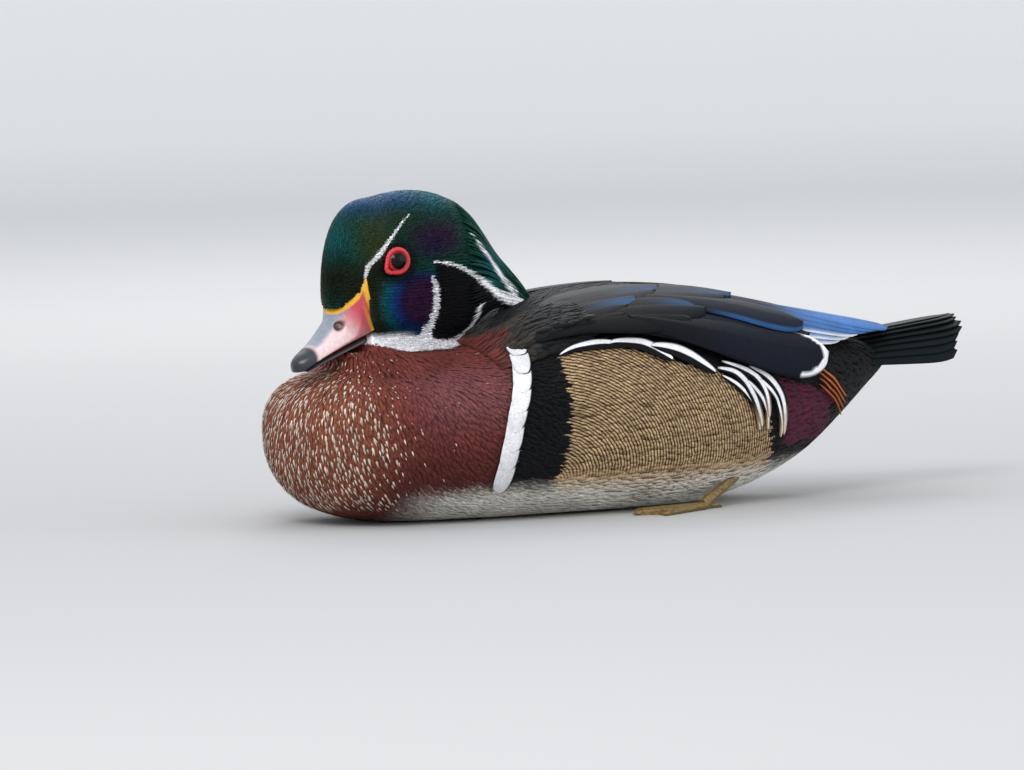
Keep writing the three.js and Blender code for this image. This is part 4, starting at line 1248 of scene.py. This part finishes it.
def flank(side):
    """The white bar's short smooth feathers, laid from the bottom up, then the crescents."""
    plume = Plume()
    for i in range(len(BAR_MIDDLE) - 3, -1, -1):
        path = BAR_MIDDLE[i:i + 3].copy()
        path[:, 0] += RNG.uniform(-0.3, 0.3)
        lift = 0.5 + 0.05 * (len(BAR_MIDDLE) - i) + max(0, 1.2 - 0.6 * i)
        path_vane(plume, side, path, 9.6, lift, bar_colour, crown=0.5, root_share=0.86 if i else 0.3,
                  tip_start=0.55, tip_power=2.4, along=20, across=16, rise=0.25)
    for path, width, lift in CRESCENTS:
        path_vane(plume, side, path, width, lift, crescent(-0.12, 0.82), root_share=0.12, tip_start=0.5,
                  rise=0.3)
    for path, width, lift in ARCS:
        path_vane(plume, side, path, width, lift, crescent(-0.35, 0.35, 0.35), root_share=0.3, tip_start=0.4,
                  rise=0.2)
    plume.finish(f"flank_{side_name(side)}_feathers", VANES)


def rump_plumes(side):
    """Thin orange plumes at the side of the rump."""
    plume = Plume()
    for i in range(4):
        path = [(x, z - 3.0 * i) for x, z in ((266, 64), (272, 60), (279, 54.5), (287, 47.5))]
        path_vane(plume, side, path, 0.9, 1.0, plain(ORANGE * (1 - 0.08 * i)), crown=0.1, along=16, across=2,
                  thick=0.5)
    plume.finish(f"rump_{side_name(side)}_plumes", VANES)


for build in (flank, rump_plumes):
    for body_side in (-1, 1):
        build(body_side)
body_feathers()
head_tufts()
crest_locks()

TAIL_FEATHERS = 14
TAIL_ROOT = 268
TAIL_TIP = 364
TAIL_WIDTH = 15
TAIL_SPREAD = (9, 25)  # half width of the fan at the roots and at the tips


def tail():
    """A flat fan of feathers, laid from the outermost in, so that the middle ones lie on top."""
    plume = Plume()
    middle = (TAIL_FEATHERS - 1) / 2
    for rank, i in enumerate(sorted(range(TAIL_FEATHERS), key=lambda i: -abs(i - middle))):
        side = i / (TAIL_FEATHERS - 1) * 2 - 1
        tip = TAIL_TIP - 12 * side ** 2 + RNG.uniform(-1.2, 1.2)
        lean = math.radians(42 * side)

        def place(u, v, face):
            x = TAIL_ROOT + (tip - TAIL_ROOT) * u
            y = side * (TAIL_SPREAD[0] + (TAIL_SPREAD[1] - TAIL_SPREAD[0]) * u)
            z = 67 + 13 * u ** 0.8 - (4 + 11 * u) * abs(side) ** 1.7 + rank * 0.06
            half = v * TAIL_WIDTH / 2 * vane_shape(u, 0.6, 0.78, 2.4)
            lift = 0.9 + (face - 0.5) * 0.5 - 0.25 * v * v
            return np.stack([x, y + half * math.cos(lean) + lift * math.sin(lean),
                             z - half * math.sin(lean) + lift * math.cos(lean)], -1)

        plume.add(place, dark_feather(BLACK, srgb(14, 26, 26), 0.6, shine=0.2), 96, along=24)
    plume.finish("tail_feathers", VANES, ("tail",))


tail()

# Bill
BILL_RED = srgb(196, 40, 62)
BILL_PINK = srgb(232, 206, 204)
BILL_YELLOW = srgb(238, 176, 32)
BILL_GREY = srgb(122, 138, 152)
# Dark red of the nostril: painted shade in its hollow
NOSTRIL_SHADE = srgb(70, 8, 12)
NAIL = srgb(34, 38, 44)
LOWER_HORN = srgb(46, 34, 36)
NOSTRIL_AT = (14.2, 9.2)  # along the bill, and up


def in_nostril(along, height, long, high):
    """How far places lie in the nostril, from 0 outside to 1 in its middle."""
    ahead = along - NOSTRIL_AT[0]
    away = (ahead / long) ** 2 + ((height - NOSTRIL_AT[1] + 0.25 * ahead) / high) ** 2
    return np.exp(-away ** 2)


def bill_point(along, sideways, height):
    x = BILL_ROOT[0] + along * math.cos(BILL_PITCH) + height * math.sin(BILL_PITCH)
    z = BILL_ROOT[1] - along * math.sin(BILL_PITCH) + height * math.cos(BILL_PITCH)
    return np.stack([x, sideways, z], -1)


def bill_half(name, node, rows, roundness, upper, paint_bill):
    """One half of the bill. The upper one has nostrils, and ends at the feather edge of the face."""
    a = np.linspace(0, math.pi, 65)
    t = np.linspace(0, len(rows) - 1, 121)
    along, half, crown, edge = np.moveaxis(station(rows, t), -1, 0)[..., None]
    square = 1 - 0.8 * smooth(15, 1, along) if upper else 1 + 0 * along
    y = half * np.sign(np.cos(a)) * np.abs(np.cos(a)) ** (0.5 + 0.5 * square)
    height = edge + (crown - edge) * np.sin(a) ** (roundness * square)
    under = np.linspace(-1, 1, 9)[1:-1]
    y = np.concatenate([y, half * under], 1)
    height = np.concatenate([height, edge + 0 * under], 1)
    along = along + 0 * y
    if upper:
        y = y - np.sign(y) * 1.6 * in_nostril(along, height, 2.8, 1.9) * (np.abs(y) > 2)
    local = bill_point(along, y, height)
    if upper:
        (tip_x, tip_z), (corner_x, corner_z), (gape_x, gape_z) = BILL_EDGE
        roof = np.interp(local[..., 0], [corner_x, tip_x, tip_x + 1], [corner_z, tip_z, 60]) + 0.3
        local[..., 2] = np.minimum(local[..., 2], roof)
        face = np.interp(local[..., 2], [gape_z - 9, gape_z, corner_z], [gape_x + 1.5, gape_x, corner_x])
        local[..., 1] *= 1 - 0.12 * smooth(0.2, 2.0, face - local[..., 0])
    colour = paint_bill(local, along, height)
    ends = np.concatenate([colour[:1].mean(1), colour[-1:].mean(1)])
    values = {"tint": np.concatenate([colour.reshape(-1, 3), ends])}
    piece = rings_object(name, from_head(local), HORN, values, flip=not upper)
    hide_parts(node)


def paint_upper(local, along, height):
    """Red at the root and along the edge, pink sides, a grey ridge, a dark nail and a yellow border."""
    share = height / np.maximum(np.interp(along, UPPER_BILL[:, 0], UPPER_BILL[:, 2]), 1)
    ridge = smooth(0.72, 0.92, share) * smooth(3, 9, along) * smooth(33, 28, along)
    edge = smooth(0.16, 0.04, share) * smooth(2, 10, along) * smooth(37, 30, along)
    distance, down = polyline_distance(local[..., 0], local[..., 2], BILL_EDGE)
    border = np.interp(down, [0, 0.35, 0.55, 1], [1.9, 3.3, 2.6, 1.2])
    out = mix(BILL_PINK, BILL_RED, smooth(20, 6, along + 6 * (1 - share)) * 0.95)
    out = mix(out, BILL_PINK, smooth(13, 20, along) * smooth(0.95, 0.5, share) * 0.9)
    out = mix(out, BILL_GREY, ridge * 0.9)
    out = mix(out, BILL_RED, edge * 0.6)
    out = mix(out, BILL_YELLOW, smooth(0.4, -0.4, distance - border))
    out = mix(out, NAIL, smooth(32.5, 35, along + 2.5 * share))
    # The nostril is painted dark: painted shade in its hollow
    return mix(out, NOSTRIL_SHADE, np.minimum(1, 1.7 * in_nostril(along, height, 2.6, 1.8)))


def paint_lower(local, along, height):
    return mix(LOWER_HORN, NAIL, smooth(20, 34, along))


bill_half("bill_upper_horn", "bill_upper", UPPER_BILL, 0.85, True, paint_upper)
bill_half("bill_lower_horn", "bill_lower", LOWER_BILL, 0.9, False, paint_lower)

# Eyes
EYE_TURN = math.radians(14)  # how far they look forwards
IRIS_STOPS = (
    (0.0, (0.002, 0.002, 0.002)),
    (0.57, (0.002, 0.002, 0.002)),
    (0.60, (0.2, 0.008, 0.006)),
    (0.64, (0.62, 0.025, 0.03)),
    (0.78, (0.5, 0.015, 0.02)),
    (0.9, (0.05, 0.004, 0.004)),
)
LID_RED = srgb(206, 36, 44)
LID_SHADE = srgb(120, 14, 22)


def eye_material():
    """Black pupil and red iris, by distance off the eye's axis, under a wet coat."""
    material, tree, shader = tree_of("eye_surface")
    wobble = math_node(tree, "MULTIPLY", math_node(tree, "SUBTRACT", noise(tree, 1800, 3.0), 0.5), 0.12)
    iris = colour_ramp(tree, math_node(tree, "ADD", attribute(tree, "off_axis"), wobble), IRIS_STOPS)
    tree.links.new(iris, shader.inputs["Base Color"])
    set_sockets(shader, Roughness=0.12, Coat_Weight=0.3, Coat_Roughness=0.02, Specular_IOR_Level=0.05)
    return material


EYE_SURFACE = eye_material()


def eye(side):
    """An eyeball with a swollen cornea, and its lid."""
    name = "left" if side > 0 else "right"
    looks = unit(np.array([math.sin(EYE_TURN), side * math.cos(EYE_TURN), 0.04]))
    across = unit(np.cross([0, 0, 1.0], looks))
    up = np.cross(looks, across)
    centre = EYE_AT * [1, side, 1]
    a = np.linspace(0.02, math.pi, 48)[:, None, None]
    b = np.linspace(0, 2 * math.pi, 64, endpoint=False)[:, None]
    swell = EYE_RADIUS * (1 + 0.05 * np.exp(-(a / 0.55) ** 2))
    ball = swell * (np.cos(a) * looks + np.sin(a) * (np.cos(b) * across + np.sin(b) * up))
    rings = from_head(ball + centre - looks * EYE_SET_IN)
    off = np.repeat(np.sin(np.minimum(a.ravel(), math.pi / 2)), len(b))
    values = {"off_axis": np.concatenate([off, [0.0, 1.0]])}
    piece = rings_object(f"eye_{name}_ball", rings, EYE_SURFACE, values)
    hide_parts(f"eye_{name}")
    # Ring of bare lid with fine wrinkles, drawn to a point at its lower front
    turns, parts = 160, 20
    t = np.linspace(0, 2 * math.pi, turns, endpoint=False)[:, None]
    p = np.linspace(0, 2 * math.pi, parts, endpoint=False)
    front = np.cos(t - (math.pi + 0.65 if side > 0 else -0.65))
    wrinkle = 0.09 * np.sin(t * 46) * np.maximum(0, np.sin(p)) + 0.06 * np.sin(t * 23 + 1)
    reach = 5.3 + 1.9 * np.maximum(0, front) ** 10 + (1.25 + wrinkle) * np.cos(p)
    ring = (np.cos(t) * across + np.sin(t) * up)[:, None] * reach[..., None]
    points = centre + looks * 4.6 + ring + looks * ((0.85 + wrinkle) * np.sin(p))[..., None]
    wrap = grid_faces(2, parts)
    closing = np.where(wrap >= parts, wrap - parts, wrap + (turns - 1) * parts)
    # The lid's inner side, towards the eyeball, is painted a darker red: painted shade in the crevice
    shade = mix(LID_RED, LID_SHADE, smooth(0.2, -0.8, np.cos(p) + 0 * t))
    lid = make_object(f"eyelid_{name}_ring", from_head(points.reshape(-1, 3)),
                      np.concatenate([grid_faces(turns, parts), closing]), LID_SKIN,
                      {"tint": shade.reshape(-1, 3)})
    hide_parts(f"eyelid_{name}")


for eye_side in (1, -1):
    eye(eye_side)

# Feet: the solids keep their shape and get skin
SCALE_STOPS = ((0, srgb(150, 122, 58)), (1, srgb(70, 58, 36)))


def foot_material():
    """Skin with small raised scales."""
    material, tree, shader = tree_of("foot_scales")
    cells = add(tree, "ShaderNodeTexVoronoi", Scale=1.0)
    tree.links.new(object_position(tree, 700), cells.inputs["Vector"])
    tree.links.new(colour_ramp(tree, cells.outputs["Distance"], SCALE_STOPS), shader.inputs["Base Color"])
    set_sockets(shader, Roughness=0.5)
    link_bump(tree, shader, cells.outputs["Distance"], 0.5, 0.0004)
    return material


FOOT_SCALES = foot_material()
for foot in ("foot_left", "foot_right"):
    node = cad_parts[foot]
    node.data.materials.clear()
    node.data.materials.append(FOOT_SCALES)

# Stage, light and camera. The stage is measured in metres.
STAGE_HALF_WIDTH = 8.0
STAGE_DEPTH = 4.0
STAGE_HEIGHT = 3.0
STAGE_BEND = 1.0  # radius between floor and wall
# How pale the stage is at distances behind the duck
PALE_AT = (0.5, 1.0, 1.6, 2.3, 3.2, STAGE_DEPTH)
PALE = (0.5, 0.5, 0.54, 0.66, 0.8, 0.84)


def stage():
    """A floor that bends up into a wall, lighter in the distance."""
    material, tree, shader = tree_of("stage_grey")
    tree.links.new(attribute(tree, "tint", "Color"), shader.inputs["Base Color"])
    set_sockets(shader, Roughness=0.95, Specular_IOR_Level=0.0)
    profile = [(y, 0.0) for y in (-6.0, *PALE_AT)]
    for a in np.linspace(0.1, math.pi / 2, 12):
        profile.append((STAGE_DEPTH + STAGE_BEND * math.sin(a), STAGE_BEND * (1 - math.cos(a))))
    profile.append((STAGE_DEPTH + STAGE_BEND, STAGE_HEIGHT))
    points = [(x, y, z) for y, z in profile for x in (-STAGE_HALF_WIDTH, STAGE_HALF_WIDTH)]
    faces = [(2 * i, 2 * i + 1, 2 * i + 3, 2 * i + 2) for i in range(len(profile) - 1)]
    mesh = bpy.data.meshes.new("studio_floor")
    mesh.from_pydata(points, [], faces)
    mesh.polygons.foreach_set("use_smooth", [True] * len(mesh.polygons))
    mesh.materials.append(material)
    greys = np.interp([y for x, y, z in points], PALE_AT, PALE)
    add_colours(mesh, "tint", (greys[:, None] * [1, 1, 0.985]).astype(np.float32))
    floor = put("studio_floor", mesh)
    floor.rotation_euler.z = math.radians(CAMERA_AZIMUTH)


def area_light(name, place, size, power):
    """A square light that aims at the middle of the duck."""
    data = bpy.data.lights.new(name, "AREA")
    data.size = size
    data.energy = power
    light = put(name, data)
    light.location = place
    light.rotation_euler = (Vector((0, 0, 0.06)) - Vector(place)).to_track_quat("-Z", "Y").to_euler()


def lights():
    area_light("key", (-1.1, -1.3, 1.5), 1.0, 20)
    area_light("fill", (1.3, -1.4, 0.7), 1.4, 5)
    area_light("rim", (0.6, 1.4, 1.2), 1.0, 13)
    world = bpy.data.worlds.new("studio")
    world.use_nodes = True
    set_sockets(world.node_tree.nodes["Background"], Color=(0.9, 0.93, 1.0, 1), Strength=1.0)
    bpy.context.scene.world = world


def camera():
    """The photograph's view: a long lens, slightly rolled, with ANCHOR_AT at ANCHOR_PX."""
    azimuth, elevation, roll = (math.radians(v) for v in (CAMERA_AZIMUTH, CAMERA_ELEVATION, CAMERA_ROLL))
    level = math.cos(elevation)
    back = Vector((math.sin(azimuth) * level, -math.cos(azimuth) * level, math.sin(elevation)))
    right = Vector((math.cos(azimuth), math.sin(azimuth), 0))
    up = back.cross(right)
    right, up = right * math.cos(roll) - up * math.sin(roll), right * math.sin(roll) + up * math.cos(roll)
    across = (FRAME_PX[0] / 2 - ANCHOR_PX[0]) / PIXELS_PER_MM
    above = (ANCHOR_PX[1] - FRAME_PX[1] / 2) / PIXELS_PER_MM
    aim = (Vector(ANCHOR_AT + DUCK_ORIGIN) + right * across + up * above) * MM
    data = bpy.data.cameras.new("camera")
    data.sensor_width = 36
    data.lens = PIXELS_PER_MM * CAMERA_DISTANCE * data.sensor_width / FRAME_PX[0]
    data.clip_end = 100
    view = put("camera", data)
    turn = Matrix((right, up, back)).transposed().to_4x4()
    view.matrix_world = Matrix.Translation(aim + back * CAMERA_DISTANCE * MM) @ turn
    bpy.context.scene.camera = view


stage()
lights()
camera()
bpy.context.scene.view_settings.view_transform = "Standard"
